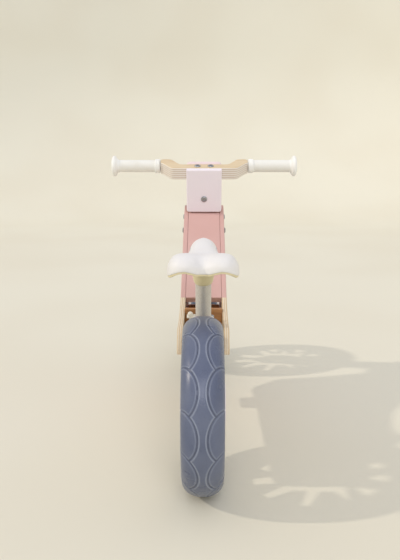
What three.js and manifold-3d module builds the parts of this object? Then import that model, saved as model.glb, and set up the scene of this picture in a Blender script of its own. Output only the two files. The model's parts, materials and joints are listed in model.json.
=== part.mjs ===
// A child's wooden balance bike with ten-inch wheels.
//
// Millimetres, +Z up, +Y forward, +X to the rider's right. The origin lies on the ground, midway
// between the two axles. The frame and the seat are drawn inside a group whose origin is on the
// ground under the rear axle. The steering is drawn inside a group whose Z axis is the steering
// axis and whose Y axis points forward, square to it. The seat tube has such a group of its own.
import * as THREE from 'three';
import { mergeVertices } from 'three/addons/utils/BufferGeometryUtils.js';
import Module from 'manifold-3d';

const wasm = await Module();
wasm.setup();

// ---- Driving dimensions ----

const WHEELBASE = 604;
const WHEEL_RADIUS = 128;
const TYRE_HALF_WIDTH = 29;
const AXLE_RADIUS = 3.95;
const CLEARANCE = 0.3; // between pieces that touch

const PLY_THICKNESS = 9;
const FRAME_INNER_HALF = 32.5; // from the middle to the inner face of a side plate
const FRAME_OUTER_HALF = FRAME_INNER_HALF + PLY_THICKNESS;
const DROPOUT_THICKNESS = 2;

const BOARD_THICKNESS = 12;
const BOARD_LOW = { y: 248, z: 235 }; // where the sloping top edge begins
const BOARD_SLOPE = THREE.MathUtils.degToRad(32.2);
const BOARD_LENGTH = 260;

const STEER_LEAN = THREE.MathUtils.degToRad(20);
const STEER_POINT = { y: 485, z: 381 }; // where the axis meets the stem's lower face
const STEM_GAP = 2.5; // between the stem and what it turns above
const STEERER_RADIUS = 8;
const HEAD_BOTTOM = -80; // along the steering axis, from STEER_POINT
const HEAD_HALF_DEPTH = 22;
const CROWN_TOP = -86;
const CROWN_BOTTOM = -118;
const BLADE_INNER = 31.5;
const BLADE_THICKNESS = 10;

const STEM_HALF_WIDTH = 36.1;
const STEM_CORE_HALF_WIDTH = 34.8;
const STEM_CORE_HALF_DEPTH = 11.5;
const STEM_CHEEK_THICKNESS = 12;
const BAR_THICKNESS = 25;
const BAR_TOP = 92.8; // top face of the handlebar plate, along the steering axis
const ARM = { rear: 20, front: 42.5, end: 91.6 }; // the handlebar's arms: f, f and x
const GRIP_AXIS = { f: (ARM.rear + ARM.front) / 2, s: BAR_TOP - BAR_THICKNESS / 2 + 1 };
const GRIP_START = 92.6;
const GRIP_END = 194.3;
const GRIP_RADIUS = 12.7;
const GRIP_COLLAR_RADIUS = 14.6;
const GRIP_FLANGE_RADIUS = 21.4;

const SEAT_LEAN = THREE.MathUtils.degToRad(19.2);
const SEAT_POINT = { y: 123.9, z: 225 }; // top of the seat tube, on its axis
const POST_RADIUS = 12.5;
const POST_BOTTOM = -72;
const POST_TOP = 89;
const SADDLE_TOP = 352;
const SADDLE_BOTTOM = 314;

const ROUND = 18; // sides on a small round piece
const SCREW_SIDES = 10;
const WHEEL_SIDES = 48;
const SPOKE_GAPS = 10;

// ---- Materials ----

function finish(color, roughness, metalness = 0) {
  return new THREE.MeshStandardMaterial({ color, roughness, metalness });
}

const PLYWOOD = finish(0xe0cba8, 0.6);
const PINK_PAINT = finish(0xd8a59f, 0.5);
const PALE_PAINT = finish(0xe6d6d7, 0.45);
const BEECH = finish(0xa97a52, 0.65);
const FOAM = finish(0x6c788b, 0.8);
const RIM_PLASTIC = finish(0xf0ede6, 0.45);
const SADDLE_PLASTIC = finish(0xf4f2ee, 0.35);
const GRIP_RUBBER = finish(0xf0eee4, 0.6);
const STEEL = finish(0xb9b6ae, 0.35, 1);
const DARK_STEEL = finish(0x6f7276, 0.4, 1);
const NYLON = finish(0xeeece6, 0.5);

// ---- Geometry helpers ----

function signedVolume(geometry) {
  const p = geometry.attributes.position;
  const index = geometry.index.array;
  const [a, b, c] = [new THREE.Vector3(), new THREE.Vector3(), new THREE.Vector3()];
  let sum = 0;
  for (let i = 0; i < index.length; i += 3) {
    a.fromBufferAttribute(p, index[i]);
    b.fromBufferAttribute(p, index[i + 1]);
    c.fromBufferAttribute(p, index[i + 2]);
    sum += a.dot(b.cross(c));
  }
  return sum / 6;
}

// Keeps positions only, joins shared corners, drops slivers and turns the faces outwards.
function closed(geometry) {
  const bare = new THREE.BufferGeometry();
  bare.setAttribute('position', geometry.attributes.position.clone());
  if (geometry.index) bare.setIndex(geometry.index.clone());
  const merged = mergeVertices(bare, 1e-3);
  const old = merged.index.array;
  const kept = [];
  for (let i = 0; i < old.length; i += 3) {
    const [a, b, c] = [old[i], old[i + 1], old[i + 2]];
    if (a !== b && b !== c && c !== a) kept.push(a, b, c);
  }
  merged.setIndex(kept);
  if (signedVolume(merged) < 0) {
    for (let i = 0; i < kept.length; i += 3) {
      [kept[i], kept[i + 1]] = [kept[i + 1], kept[i]];
    }
    merged.setIndex(kept);
  }
  return merged;
}

function toSolid(geometry) {
  const mesh = closed(geometry);
  const vertProperties = Float32Array.from(mesh.attributes.position.array);
  const triVerts = Uint32Array.from(mesh.index.array);
  return new wasm.Manifold(new wasm.Mesh({ numProp: 3, vertProperties, triVerts }));
}

function toGeometry(solid) {
  const mesh = solid.getMesh();
  const geometry = new THREE.BufferGeometry();
  geometry.setAttribute('position', new THREE.BufferAttribute(mesh.vertProperties, 3));
  geometry.setIndex(new THREE.BufferAttribute(mesh.triVerts, 1));
  return geometry;
}

function cut(geometry, ...tools) {
  return toGeometry(tools.reduce((body, tool) => body.subtract(toSolid(tool)), toSolid(geometry)));
}

function join(geometry, ...others) {
  return toGeometry(others.reduce((body, other) => body.add(toSolid(other)), toSolid(geometry)));
}

// A box from its lowest and highest corners.
function box([x0, y0, z0], [x1, y1, z1]) {
  const geometry = new THREE.BoxGeometry(x1 - x0, y1 - y0, z1 - z0);
  return geometry.translate((x0 + x1) / 2, (y0 + y1) / 2, (z0 + z1) / 2);
}

// An outline drawn in (y, z), thickened along X from x0 to x1.
function sideways(shape, x0, x1, curveSegments = 6) {
  const options = { depth: x1 - x0, bevelEnabled: false, curveSegments };
  const turn = new THREE.Matrix4().makeBasis(
    new THREE.Vector3(0, 1, 0),
    new THREE.Vector3(0, 0, 1),
    new THREE.Vector3(1, 0, 0),
  );
  return new THREE.ExtrudeGeometry(shape, options).applyMatrix4(turn).translate(x0, 0, 0);
}

// An outline drawn in (x, y), thickened along Z from z0 to z1.
function upward(shape, z0, z1, curveSegments = 6) {
  const options = { depth: z1 - z0, bevelEnabled: false, curveSegments };
  return new THREE.ExtrudeGeometry(shape, options).translate(0, 0, z0);
}

// An outline drawn in (x, z), thickened along Y from y0 to y1.
function forward(shape, y0, y1, curveSegments = 6) {
  const options = { depth: y1 - y0, bevelEnabled: false, curveSegments };
  return new THREE.ExtrudeGeometry(shape, options).rotateX(Math.PI / 2).translate(0, y1, 0);
}

function polygon(points) {
  return new THREE.Shape(points.map(([a, b]) => new THREE.Vector2(a, b)));
}

// A rounded rectangle centred on (0, middle).
function roundedPanel(halfWidth, bottom, top, lowerRadius, upperRadius) {
  const [w, r, q] = [halfWidth, lowerRadius, upperRadius];
  const shape = new THREE.Shape();
  shape.moveTo(-w + r, bottom);
  shape.lineTo(w - r, bottom);
  shape.quadraticCurveTo(w, bottom, w, bottom + r);
  shape.lineTo(w, top - q);
  shape.quadraticCurveTo(w, top, w - q, top);
  shape.lineTo(-w + q, top);
  shape.quadraticCurveTo(-w, top, -w, top - q);
  shape.lineTo(-w, bottom + r);
  shape.quadraticCurveTo(-w, bottom, -w + r, bottom);
  return shape;
}

const AXIS_TURN = {
  x: (geometry) => geometry.rotateZ(-Math.PI / 2),
  y: (geometry) => geometry,
  z: (geometry) => geometry.rotateX(Math.PI / 2),
};

// A turned piece: profile points are [distance along the axis, radius].
function turned(axis, profile, sides = ROUND) {
  const points = profile.map(([along, radius]) => new THREE.Vector2(radius, along));
  return AXIS_TURN[axis](new THREE.LatheGeometry(points, sides));
}

function rod(axis, from, to, radius, sides = ROUND) {
  return turned(axis, [[from, 0], [from, radius], [to, radius], [to, 0]], sides);
}

function ring(axis, from, to, inner, outer, sides = ROUND) {
  const profile = [[from, inner], [from, outer], [to, outer], [to, inner], [from, inner]];
  return turned(axis, profile, sides);
}

function named(name, geometry, material) {
  const mesh = new THREE.Mesh(closed(geometry), material);
  mesh.name = name;
  return mesh;
}

const SIDES = [
  { name: 'left', sign: -1 },
  { name: 'right', sign: 1 },
];

// A span of X on one side of the bike, lowest value first.
function span(sign, inner, outer) {
  return sign > 0 ? [inner, outer] : [-outer, -inner];
}

// ---- Fasteners ----

const SCREW = { headRadius: 5.5, headHeight: 2.2, shankRadius: 2.8 };
const SCREW_HOLE_RADIUS = SCREW.shankRadius + CLEARANCE;

// A button-head screw whose head lies against a face and whose shank ends at the tip.
function buttonScrew(axis, sign, face, tip, size = SCREW) {
  const head = face + CLEARANCE;
  const { headRadius, headHeight, shankRadius } = size;
  const profile = [
    [head + headHeight, 0],
    [head + headHeight, headRadius * 0.6],
    [head + headHeight * 0.5, headRadius],
    [head, headRadius],
    [head, shankRadius],
    [tip, shankRadius],
    [tip, 0],
  ];
  return turned(axis, profile.map(([along, radius]) => [sign * along, radius]), SCREW_SIDES);
}

function sideScrew(sign, face, depth, { y, z }) {
  return buttonScrew('x', sign, face, face - depth).translate(0, y, z);
}

function sideHole({ y, z }, radius = SCREW_HOLE_RADIUS, reach = FRAME_OUTER_HALF + 5) {
  return rod('x', -reach, reach, radius, SCREW_SIDES).translate(0, y, z);
}

const HEAD_SCREW = { y: 480, z: 362 };
const BOARD_SCREW = { y: 424.5, z: 339 };
const CROSSBOARD_SCREW = { y: 203, z: 177 };
const BELLY_SCREW = { y: 322, z: 122 };

// ---- Frame ----

// How far the plates reach ahead of and behind the steering axis at the head's lower end.
const PLATE_HEAD_FRONT = 24;
const PLATE_HEAD_REAR = -54;

// Height of the sloping top edge above the ground at a given y.
function slopeHeight(y) {
  return BOARD_LOW.z + (y - BOARD_LOW.y) * Math.tan(BOARD_SLOPE);
}

// The (y, z) of a point f forward of the steering axis and s along it.
function steerToSide(f, s) {
  const [sin, cos] = [Math.sin(STEER_LEAN), Math.cos(STEER_LEAN)];
  return [STEER_POINT.y - s * sin + f * cos, STEER_POINT.z + s * cos + f * sin];
}

function sidePlateOutline() {
  const shape = new THREE.Shape();
  shape.moveTo(85, 177);
  shape.quadraticCurveTo(79, 184, 92, 201);
  shape.quadraticCurveTo(101, 214, 114, 214);
  shape.lineTo(154, 214);
  shape.quadraticCurveTo(206, 218, BOARD_LOW.y, BOARD_LOW.z);
  shape.lineTo(454, slopeHeight(454));
  shape.quadraticCurveTo(462, slopeHeight(462), ...steerToSide(-14, -STEM_GAP));
  shape.lineTo(...steerToSide(PLATE_HEAD_FRONT - 8, -STEM_GAP));
  shape.quadraticCurveTo(
    ...steerToSide(PLATE_HEAD_FRONT, -STEM_GAP),
    ...steerToSide(PLATE_HEAD_FRONT, -STEM_GAP - 8),
  );
  shape.lineTo(...steerToSide(PLATE_HEAD_FRONT, HEAD_BOTTOM));
  shape.lineTo(...steerToSide(PLATE_HEAD_REAR, HEAD_BOTTOM));
  shape.quadraticCurveTo(450, 225, 450, 195);
  shape.lineTo(450, 150);
  shape.quadraticCurveTo(449, 142, 440, 134);
  shape.lineTo(412, 109);
  shape.quadraticCurveTo(402, 100, 388, 100);
  shape.quadraticCurveTo(350, 100, 330, 105);
  shape.quadraticCurveTo(266, 124, 212, 140);
  shape.quadraticCurveTo(140, 160, 85, 177);
  return shape;
}

function sidePlate({ name, sign }) {
  const [x0, x1] = span(sign, FRAME_INNER_HALF, FRAME_OUTER_HALF);
  const screws = [HEAD_SCREW, BOARD_SCREW, CROSSBOARD_SCREW, BELLY_SCREW];
  const plate = cut(sideways(sidePlateOutline(), x0, x1), ...screws.map((at) => sideHole(at)));
  return named(`side_plate_${name}`, plate, PLYWOOD);
}

function placeOnSteering(geometry) {
  return geometry.rotateX(STEER_LEAN).translate(0, STEER_POINT.y, STEER_POINT.z);
}

// A box along the board: from and to run up the slope, low and high are square to it.
function alongBoard(halfWidth, from, to, low, high) {
  const slab = box([-halfWidth, from, low], [halfWidth, to, high]);
  return slab.rotateX(BOARD_SLOPE).translate(0, BOARD_LOW.y, BOARD_LOW.z);
}

// The space that the stem swings in, as a tool that cuts the board's upper end.
function stemSpace() {
  return placeOnSteering(box([-60, -80, -STEM_GAP], [60, 80, 60]));
}

function topBoard() {
  const slab = alongBoard(FRAME_INNER_HALF - CLEARANCE, 0, BOARD_LENGTH, -BOARD_THICKNESS, 0);
  return named('top_board', cut(slab, stemSpace(), sideHole(BOARD_SCREW)), PINK_PAINT);
}

const DROPOUT_INNER = FRAME_INNER_HALF - CLEARANCE - DROPOUT_THICKNESS;
const DROPOUT_OUTER = FRAME_INNER_HALF - CLEARANCE;
const DROPOUT_RADIUS = 32;
const DROPOUT_FRONT = 350;
const INNER_HALF_WIDTH = DROPOUT_INNER - CLEARANCE; // of what sits between the dropouts

function dropoutOutline() {
  const shape = new THREE.Shape();
  shape.moveTo(0, WHEEL_RADIUS - DROPOUT_RADIUS);
  shape.lineTo(DROPOUT_FRONT - 12, WHEEL_RADIUS - DROPOUT_RADIUS);
  shape.quadraticCurveTo(DROPOUT_FRONT, 96, DROPOUT_FRONT, 108);
  shape.lineTo(DROPOUT_FRONT, 138);
  shape.quadraticCurveTo(DROPOUT_FRONT, 148, DROPOUT_FRONT - 10, 149);
  shape.quadraticCurveTo(240, 162, 190, 184);
  shape.quadraticCurveTo(150, 198, 118, 190);
  shape.quadraticCurveTo(50, 168, 0, WHEEL_RADIUS + DROPOUT_RADIUS);
  shape.absarc(0, WHEEL_RADIUS, DROPOUT_RADIUS, Math.PI / 2, (3 * Math.PI) / 2, false);
  return shape;
}

const AXLE_SCREW = { headRadius: 7.5, shankRadius: 2.3 };
const REAR_AXLE_END = DROPOUT_INNER - CLEARANCE;

// A countersunk screw, flush with the dropout's outer face. Grown a little, it cuts its own hole.
function axleScrewProfile(grow) {
  const { headRadius, shankRadius } = AXLE_SCREW;
  return [
    [DROPOUT_OUTER + 3 * grow, 0],
    [DROPOUT_OUTER + 3 * grow, headRadius + grow],
    [DROPOUT_OUTER, headRadius + grow],
    [DROPOUT_INNER, AXLE_RADIUS - 0.5 + grow],
    [DROPOUT_INNER, shankRadius + grow],
    [12, shankRadius + grow],
    [12, 0],
  ];
}

function axleScrewShape(sign, grow) {
  const points = axleScrewProfile(grow).map(([along, radius]) => [sign * along, radius]);
  return turned('x', points, SCREW_SIDES).translate(0, 0, WHEEL_RADIUS);
}

function dropout({ name, sign }) {
  const [x0, x1] = span(sign, DROPOUT_INNER, DROPOUT_OUTER);
  const plate = sideways(dropoutOutline(), x0, x1, 10);
  const screwHoles = [CROSSBOARD_SCREW, BELLY_SCREW].map((at) => sideHole(at));
  const holes = [...screwHoles, axleScrewShape(sign, CLEARANCE)];
  return named(`dropout_${name}`, cut(plate, ...holes), PALE_PAINT);
}

const CROSSBOARD_SHOULDER = 193; // above it the board fills the whole gap between the plates
const SEAT_CROSSBOARD = { y0: 197, y1: 209, bottom: 118, top: 225 };
const FRONT_CROSSBOARD = { y0: 434, y1: 444, bottom: 140, top: 180 };

function seatCrossboard() {
  const wide = FRAME_INNER_HALF - CLEARANCE;
  const narrow = INNER_HALF_WIDTH;
  const { y0, y1, bottom, top } = SEAT_CROSSBOARD;
  const outline = polygon([
    [-narrow, bottom],
    [narrow, bottom],
    [narrow, CROSSBOARD_SHOULDER],
    [wide, CROSSBOARD_SHOULDER],
    [wide, top],
    [-wide, top],
    [-wide, CROSSBOARD_SHOULDER],
    [-narrow, CROSSBOARD_SHOULDER],
  ]);
  return named('seat_crossboard', cut(forward(outline, y0, y1), sideHole(CROSSBOARD_SCREW)), BEECH);
}

function frontCrossboard() {
  const wide = FRAME_INNER_HALF - CLEARANCE;
  const { y0, y1, bottom, top } = FRONT_CROSSBOARD;
  return named('front_crossboard', box([-wide, y0, bottom], [wide, y1, top]), BEECH);
}

function bellyBlock() {
  const outline = new THREE.Shape();
  outline.moveTo(302, 72);
  outline.lineTo(344, 72);
  outline.quadraticCurveTo(350, 72, 350, 78);
  outline.lineTo(350, 138);
  outline.lineTo(292, 138);
  outline.lineTo(292, 90);
  outline.quadraticCurveTo(292, 72, 302, 72);
  const block = sideways(outline, -INNER_HALF_WIDTH, INNER_HALF_WIDTH);
  return named('belly_block', cut(block, sideHole(BELLY_SCREW)), BEECH);
}

const HEAD_BORE_RADIUS = 14.3;
const HEAD_SCREW_HOLE_REACH = FRAME_OUTER_HALF + 5;

// The block between the plates that the steerer turns in, notched for the end of the top board.
function headBlock() {
  const halfWidth = FRAME_INNER_HALF - CLEARANCE;
  const tall = box(
    [-halfWidth, -HEAD_HALF_DEPTH, HEAD_BOTTOM],
    [halfWidth, HEAD_HALF_DEPTH, -STEM_GAP],
  );
  const bore = rod('z', HEAD_BOTTOM - 5, 5, HEAD_BORE_RADIUS);
  const block = placeOnSteering(cut(tall, bore));
  const underside = -BOARD_THICKNESS - CLEARANCE;
  const above = alongBoard(halfWidth + 5, 0, BOARD_LENGTH + CLEARANCE, underside, 80);
  const screwHoles = SIDES.map(({ sign }) => {
    const [x0, x1] = span(sign, FRAME_OUTER_HALF - 22, HEAD_SCREW_HOLE_REACH);
    return rod('x', x0, x1, SCREW_HOLE_RADIUS, SCREW_SIDES).translate(0, HEAD_SCREW.y, HEAD_SCREW.z);
  });
  return named('head_block', cut(block, above, ...screwHoles), BEECH);
}

function frameScrews() {
  const screws = [
    ['head_screw', HEAD_SCREW, 20],
    ['board_screw', BOARD_SCREW, 30],
    ['crossboard_screw', CROSSBOARD_SCREW, 32],
    ['belly_screw', BELLY_SCREW, 34],
  ];
  return screws.flatMap(([base, at, depth]) => SIDES.map(({ name, sign }) => {
    return named(`${base}_${name}`, sideScrew(sign, FRAME_OUTER_HALF, depth, at), DARK_STEEL);
  }));
}

function rearAxle() {
  const tube = ring('x', -REAR_AXLE_END, REAR_AXLE_END, 2.7, AXLE_RADIUS);
  const screws = SIDES.map(({ name, sign }) => {
    return named(`rear_axle_screw_${name}`, axleScrewShape(sign, 0), DARK_STEEL);
  });
  return [named('rear_axle', tube.translate(0, 0, WHEEL_RADIUS), STEEL), ...screws];
}

// ---- Headset bushes, drawn on the steering axis ----

function headsetBushes() {
  const [inner, outer] = [STEERER_RADIUS + CLEARANCE, HEAD_BORE_RADIUS - CLEARANCE];
  const flange = 20;
  const lower = turned('z', [
    [HEAD_BOTTOM - CLEARANCE, outer],
    [HEAD_BOTTOM + 26, outer],
    [HEAD_BOTTOM + 26, inner],
    [CROWN_TOP + CLEARANCE, inner],
    [CROWN_TOP + CLEARANCE, flange],
    [HEAD_BOTTOM - CLEARANCE, flange],
    [HEAD_BOTTOM - CLEARANCE, outer],
  ]);
  const upper = ring('z', -44, -CLEARANCE, inner, outer);
  return [
    named('headset_bush_lower', lower, NYLON),
    named('headset_bush_upper', upper, NYLON),
  ];
}

// ---- Seat tube and clamp, drawn on the seat tube's axis ----

const SEAT_TUBE_BOTTOM = -92;
const SEAT_TUBE_RADIUS = 15.5;
const COLLAR = { bottom: -22, top: -1, radius: 18.6, slit: 1.2, earHalf: 12.5, earFront: 34 };
const COLLAR_BOLT = { f: 27, s: -14.2, radius: 2.6 };
const THUMB_NUT = { end: 27.6, foot: 5.2, shelf: -10.4, top: -3.6, x: 21.8, radius: 4.4 };
const WELD_FLANGE = { halfWidth: 20, thickness: 5, bottom: 140, top: 202 };

// Where the seat tube's axis crosses the height z.
function seatAxisY(z) {
  return SEAT_POINT.y + (SEAT_POINT.z - z) * Math.tan(SEAT_LEAN);
}

function placeOnSeat(geometry) {
  return geometry.rotateX(SEAT_LEAN).translate(0, SEAT_POINT.y, SEAT_POINT.z);
}

// The steel tube, its web and the flange that is screwed to the crossboard are one weldment.
function seatTube() {
  const inner = POST_RADIUS + CLEARANCE;
  const tube = placeOnSeat(ring('z', SEAT_TUBE_BOTTOM, 0, inner, SEAT_TUBE_RADIUS));
  const wall = (z) => [seatAxisY(z) + (inner + 1.5) / Math.cos(SEAT_LEAN), z];
  const web = sideways(polygon([wall(200), [192, 196], [192, 146], wall(144)]), -3, 3);
  const flangeBack = SEAT_CROSSBOARD.y0 - CLEARANCE;
  const { halfWidth, thickness, bottom, top } = WELD_FLANGE;
  const flange = box([-halfWidth, flangeBack - thickness, bottom], [halfWidth, flangeBack, top]);
  return named('seat_tube', join(tube, web, flange), STEEL);
}

function seatCollar() {
  const { bottom, top, radius, slit, earHalf, earFront } = COLLAR;
  const bore = SEAT_TUBE_RADIUS + CLEARANCE;
  const band = rod('z', bottom, top, radius);
  const ears = box([-earHalf, 8, bottom + 1], [earHalf, earFront, top - 1]);
  const hole = rod('z', bottom - 5, top + 5, bore);
  const gap = box([-slit, 8, bottom - 5], [slit, earFront + 5, top + 5]);
  const boltHole = rod('x', -earHalf - 5, earHalf + 5, COLLAR_BOLT.radius + CLEARANCE, SCREW_SIDES);
  boltHole.translate(0, COLLAR_BOLT.f, COLLAR_BOLT.s);
  return named('seat_collar', cut(join(band, ears), hole, gap, boltHole), NYLON);
}

// A foot on the bolt's end, with an upright knob on it for the thumb.
function thumbNut(ear) {
  const { f, s, radius } = COLLAR_BOLT;
  const { end, foot, shelf, top, x, radius: knobRadius } = THUMB_NUT;
  const base = box([-end, f - foot, s - foot], [-ear, f + foot, shelf]);
  const knob = turned('z', [
    [s, 0],
    [s, knobRadius],
    [top - 2.6, knobRadius],
    [top - 0.8, knobRadius * 0.75],
    [top, knobRadius * 0.3],
    [top, 0],
  ]);
  const hole = rod('x', -ear - 6.5, 0, radius + CLEARANCE, SCREW_SIDES).translate(0, f, s);
  return cut(join(base, knob.translate(-x, f, 0)), hole);
}

function collarFasteners() {
  const { f, s, radius } = COLLAR_BOLT;
  const ear = COLLAR.earHalf + CLEARANCE;
  const bolt = turned('x', [
    [ear + 5, 0],
    [ear + 5, 3.5],
    [ear + 3.5, 5],
    [ear, 5],
    [ear, radius],
    [-ear - 6, radius],
    [-ear - 6, 0],
  ], SCREW_SIDES);
  return [
    named('collar_bolt', bolt.translate(0, f, s), DARK_STEEL),
    named('collar_nut', thumbNut(ear), NYLON),
  ];
}

function seatPost() {
  return named('seat_post', rod('z', POST_BOTTOM, POST_TOP, POST_RADIUS, ROUND), STEEL);
}

// ---- Saddle, drawn level over the rear axle ----

const SADDLE_BEVEL = 15;
const SADDLE_NOTCH = 8; // how far forward the dip between the two rear lobes reaches

// Half of the saddle's plan before its rounding: [control x, control y, end x, end y].
const SADDLE_CURVES = [
  [12, -2, 23, -1],
  [36.5, 2, 36.5, 24],
  [36.5, 52, 21, 76],
  [7, 98, 7, 140],
  [8, 172, 0, 172],
];

function saddleOutline() {
  const shape = new THREE.Shape();
  shape.moveTo(0, SADDLE_NOTCH);
  SADDLE_CURVES.forEach((curve) => shape.quadraticCurveTo(...curve));
  const starts = [[0, SADDLE_NOTCH], ...SADDLE_CURVES.map((curve) => curve.slice(2))];
  for (let i = SADDLE_CURVES.length - 1; i >= 0; i -= 1) {
    const [controlX, controlY] = SADDLE_CURVES[i];
    const [x, y] = starts[i];
    shape.quadraticCurveTo(-controlX, controlY, -x, y);
  }
  return shape;
}

function saddle() {
  const options = {
    depth: SADDLE_TOP - SADDLE_BOTTOM - 2 * SADDLE_BEVEL,
    bevelEnabled: true,
    bevelThickness: SADDLE_BEVEL,
    bevelSize: SADDLE_BEVEL,
    bevelSegments: 4,
    curveSegments: 5,
  };
  const pad = new THREE.ExtrudeGeometry(saddleOutline(), options);
  pad.translate(0, 0, SADDLE_BOTTOM + SADDLE_BEVEL);
  return named('saddle', pad, SADDLE_PLASTIC);
}

// The cup under the saddle that grips the post.
function saddleSocket() {
  const [bottom, top] = [65, 105];
  const inner = POST_RADIUS + CLEARANCE;
  const cup = turned('z', [
    [bottom, inner],
    [bottom, inner + 1],
    [bottom + 17, 15.5],
    [bottom + 27, 19],
    [top, 20],
    [top, inner],
    [bottom, inner],
  ]);
  const above = box([-40, -100, SADDLE_BOTTOM - CLEARANCE], [40, 300, SADDLE_BOTTOM + 60]);
  return named('saddle_socket', cut(placeOnSeat(cup), above), NYLON);
}

// ---- Wheels ----

const RIM_RADIUS = 97.7;
const RIM_HALF_WIDTH = 22;
const HUB_HALF_WIDTH = 29.2;
const BEARING = { inner: 4.2, outer: 10.8, from: 22.6, to: 29.6 };

function tyre() {
  const bore = RIM_RADIUS + CLEARANCE + 0.3;
  const half = [[24, bore], [28, 104], [TYRE_HALF_WIDTH, 110], [25.5, 118], [19.5, 123.5], [12, 126.5]];
  const crown = [[6, WHEEL_RADIUS], [-6, WHEEL_RADIUS]];
  const mirrored = half.map(([x, r]) => [-x, r]).reverse();
  const flat = 1 / Math.cos(Math.PI / WHEEL_SIDES);
  const profile = [...half, ...crown, ...mirrored, half[0]].map(([x, r]) => [x, r * flat]);
  return turned('x', profile, WHEEL_SIDES).rotateX(Math.PI / WHEEL_SIDES);
}

// A triangular opening with rounded corners, widest next to the rim.
function spokeGap(angle) {
  const [apex, base, half] = [45, 84, 16];
  const shape = roundedPolygon([[0, apex], [half, base], [-half, base]], 5);
  return forward(shape, -40, 40, 2).rotateZ(Math.PI / 2).rotateX(angle);
}

function rim() {
  const half = [
    [HUB_HALF_WIDTH, 11.1],
    [HUB_HALF_WIDTH, 18],
    [7, 32],
    [7, 86],
    [RIM_HALF_WIDTH, 89],
    [RIM_HALF_WIDTH, RIM_RADIUS],
  ];
  const mirrored = half.map(([x, r]) => [-x, r]).reverse();
  const shoulder = BEARING.from - CLEARANCE;
  const bore = [[-shoulder, 11.1], [-shoulder, 9], [shoulder, 9], [shoulder, 11.1]];
  const body = turned('x', [...half, ...mirrored, ...bore, half[0]], WHEEL_SIDES);
  const gaps = [];
  for (let i = 0; i < SPOKE_GAPS; i += 1) {
    gaps.push(spokeGap(((i + 0.5) * 2 * Math.PI) / SPOKE_GAPS));
  }
  return cut(body.rotateX(Math.PI / WHEEL_SIDES), ...gaps);
}

function wheel(prefix, y) {
  const group = new THREE.Group();
  group.position.set(0, y, WHEEL_RADIUS);
  const sleeve = BEARING.from - CLEARANCE;
  group.add(
    named(`${prefix}_tyre`, tyre(), FOAM),
    named(`${prefix}_rim`, rim(), RIM_PLASTIC),
    named(`${prefix}_bearing_sleeve`, ring('x', -sleeve, sleeve, BEARING.inner, 6.5), STEEL),
  );
  SIDES.forEach(({ name, sign }) => {
    const [x0, x1] = span(sign, BEARING.from, BEARING.to);
    const bearing = ring('x', x0, x1, BEARING.inner, BEARING.outer);
    group.add(named(`${prefix}_bearing_${name}`, bearing, STEEL));
  });
  return group;
}

// ---- Steering, drawn on the steering axis ----

// The front axle in the steering frame: f forward of the axis, s along it.
const FRONT_AXLE = (() => {
  const [sin, cos] = [Math.sin(STEER_LEAN), Math.cos(STEER_LEAN)];
  const [dy, dz] = [WHEELBASE - STEER_POINT.y, WHEEL_RADIUS - STEER_POINT.z];
  return { f: dy * cos + dz * sin, s: -dy * sin + dz * cos };
})();

const BLADE_OUTER = BLADE_INNER + BLADE_THICKNESS;
const BLADE_END_RADIUS = 17;
const CROWN_SCREW = { y: 0, z: (CROWN_TOP + CROWN_BOTTOM) / 2 };

// A polygon whose corners are rounded off, each over the given distance along its two edges.
function roundedPolygon(points, radius) {
  const corners = points.map(([a, b]) => new THREE.Vector2(a, b));
  const shape = new THREE.Shape();
  corners.forEach((corner, i) => {
    const before = corners[(i + corners.length - 1) % corners.length];
    const after = corners[(i + 1) % corners.length];
    const step = (to) => Math.min(radius, corner.distanceTo(to) / 2.01);
    const from = corner.clone().lerp(before, step(before) / corner.distanceTo(before));
    const onto = corner.clone().lerp(after, step(after) / corner.distanceTo(after));
    if (i === 0) shape.moveTo(from.x, from.y);
    else shape.lineTo(from.x, from.y);
    shape.quadraticCurveTo(corner.x, corner.y, onto.x, onto.y);
  });
  shape.closePath();
  return shape;
}

// The blade sweeps forward from the crown to the axle and narrows on its way.
function bladeOutline() {
  const top = new THREE.Vector2(0, CROWN_TOP - 2);
  const knee = new THREE.Vector2(0, -205);
  const end = new THREE.Vector2(FRONT_AXLE.f, FRONT_AXLE.s);
  const centre = new THREE.QuadraticBezierCurve(top, knee, end);
  const steps = 8;
  const [front, rear] = [[], []];
  for (let i = 0; i <= steps; i += 1) {
    const t = i / steps;
    const at = centre.getPoint(t);
    const along = centre.getTangent(t);
    const half = THREE.MathUtils.lerp(HEAD_HALF_DEPTH, BLADE_END_RADIUS, t);
    front.push(new THREE.Vector2(at.x - along.y * half, at.y + along.x * half));
    rear.push(new THREE.Vector2(at.x + along.y * half, at.y - along.x * half));
  }
  const last = centre.getTangent(1);
  const facing = Math.atan2(last.x, -last.y);
  const arc = [];
  for (let i = 1; i < 8; i += 1) {
    const turn = facing - (i * Math.PI) / 8;
    const [a, b] = [Math.cos(turn), Math.sin(turn)].map((value) => value * BLADE_END_RADIUS);
    arc.push(new THREE.Vector2(end.x + a, end.y + b));
  }
  return new THREE.Shape([...front, ...arc, ...rear.reverse()]);
}

function forkBlade({ name, sign }) {
  const [x0, x1] = span(sign, BLADE_INNER, BLADE_OUTER);
  const [b0, b1] = span(sign, BEARING.to + CLEARANCE, BLADE_INNER + 1);
  const boss = rod('x', b0, b1, 9).translate(0, FRONT_AXLE.f, FRONT_AXLE.s);
  const axleAt = { y: FRONT_AXLE.f, z: FRONT_AXLE.s };
  const body = join(sideways(bladeOutline(), x0, x1), boss);
  const holes = [sideHole(CROWN_SCREW), sideHole(axleAt, AXLE_RADIUS + CLEARANCE)];
  return named(`fork_blade_${name}`, cut(body, ...holes), PALE_PAINT);
}

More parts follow.
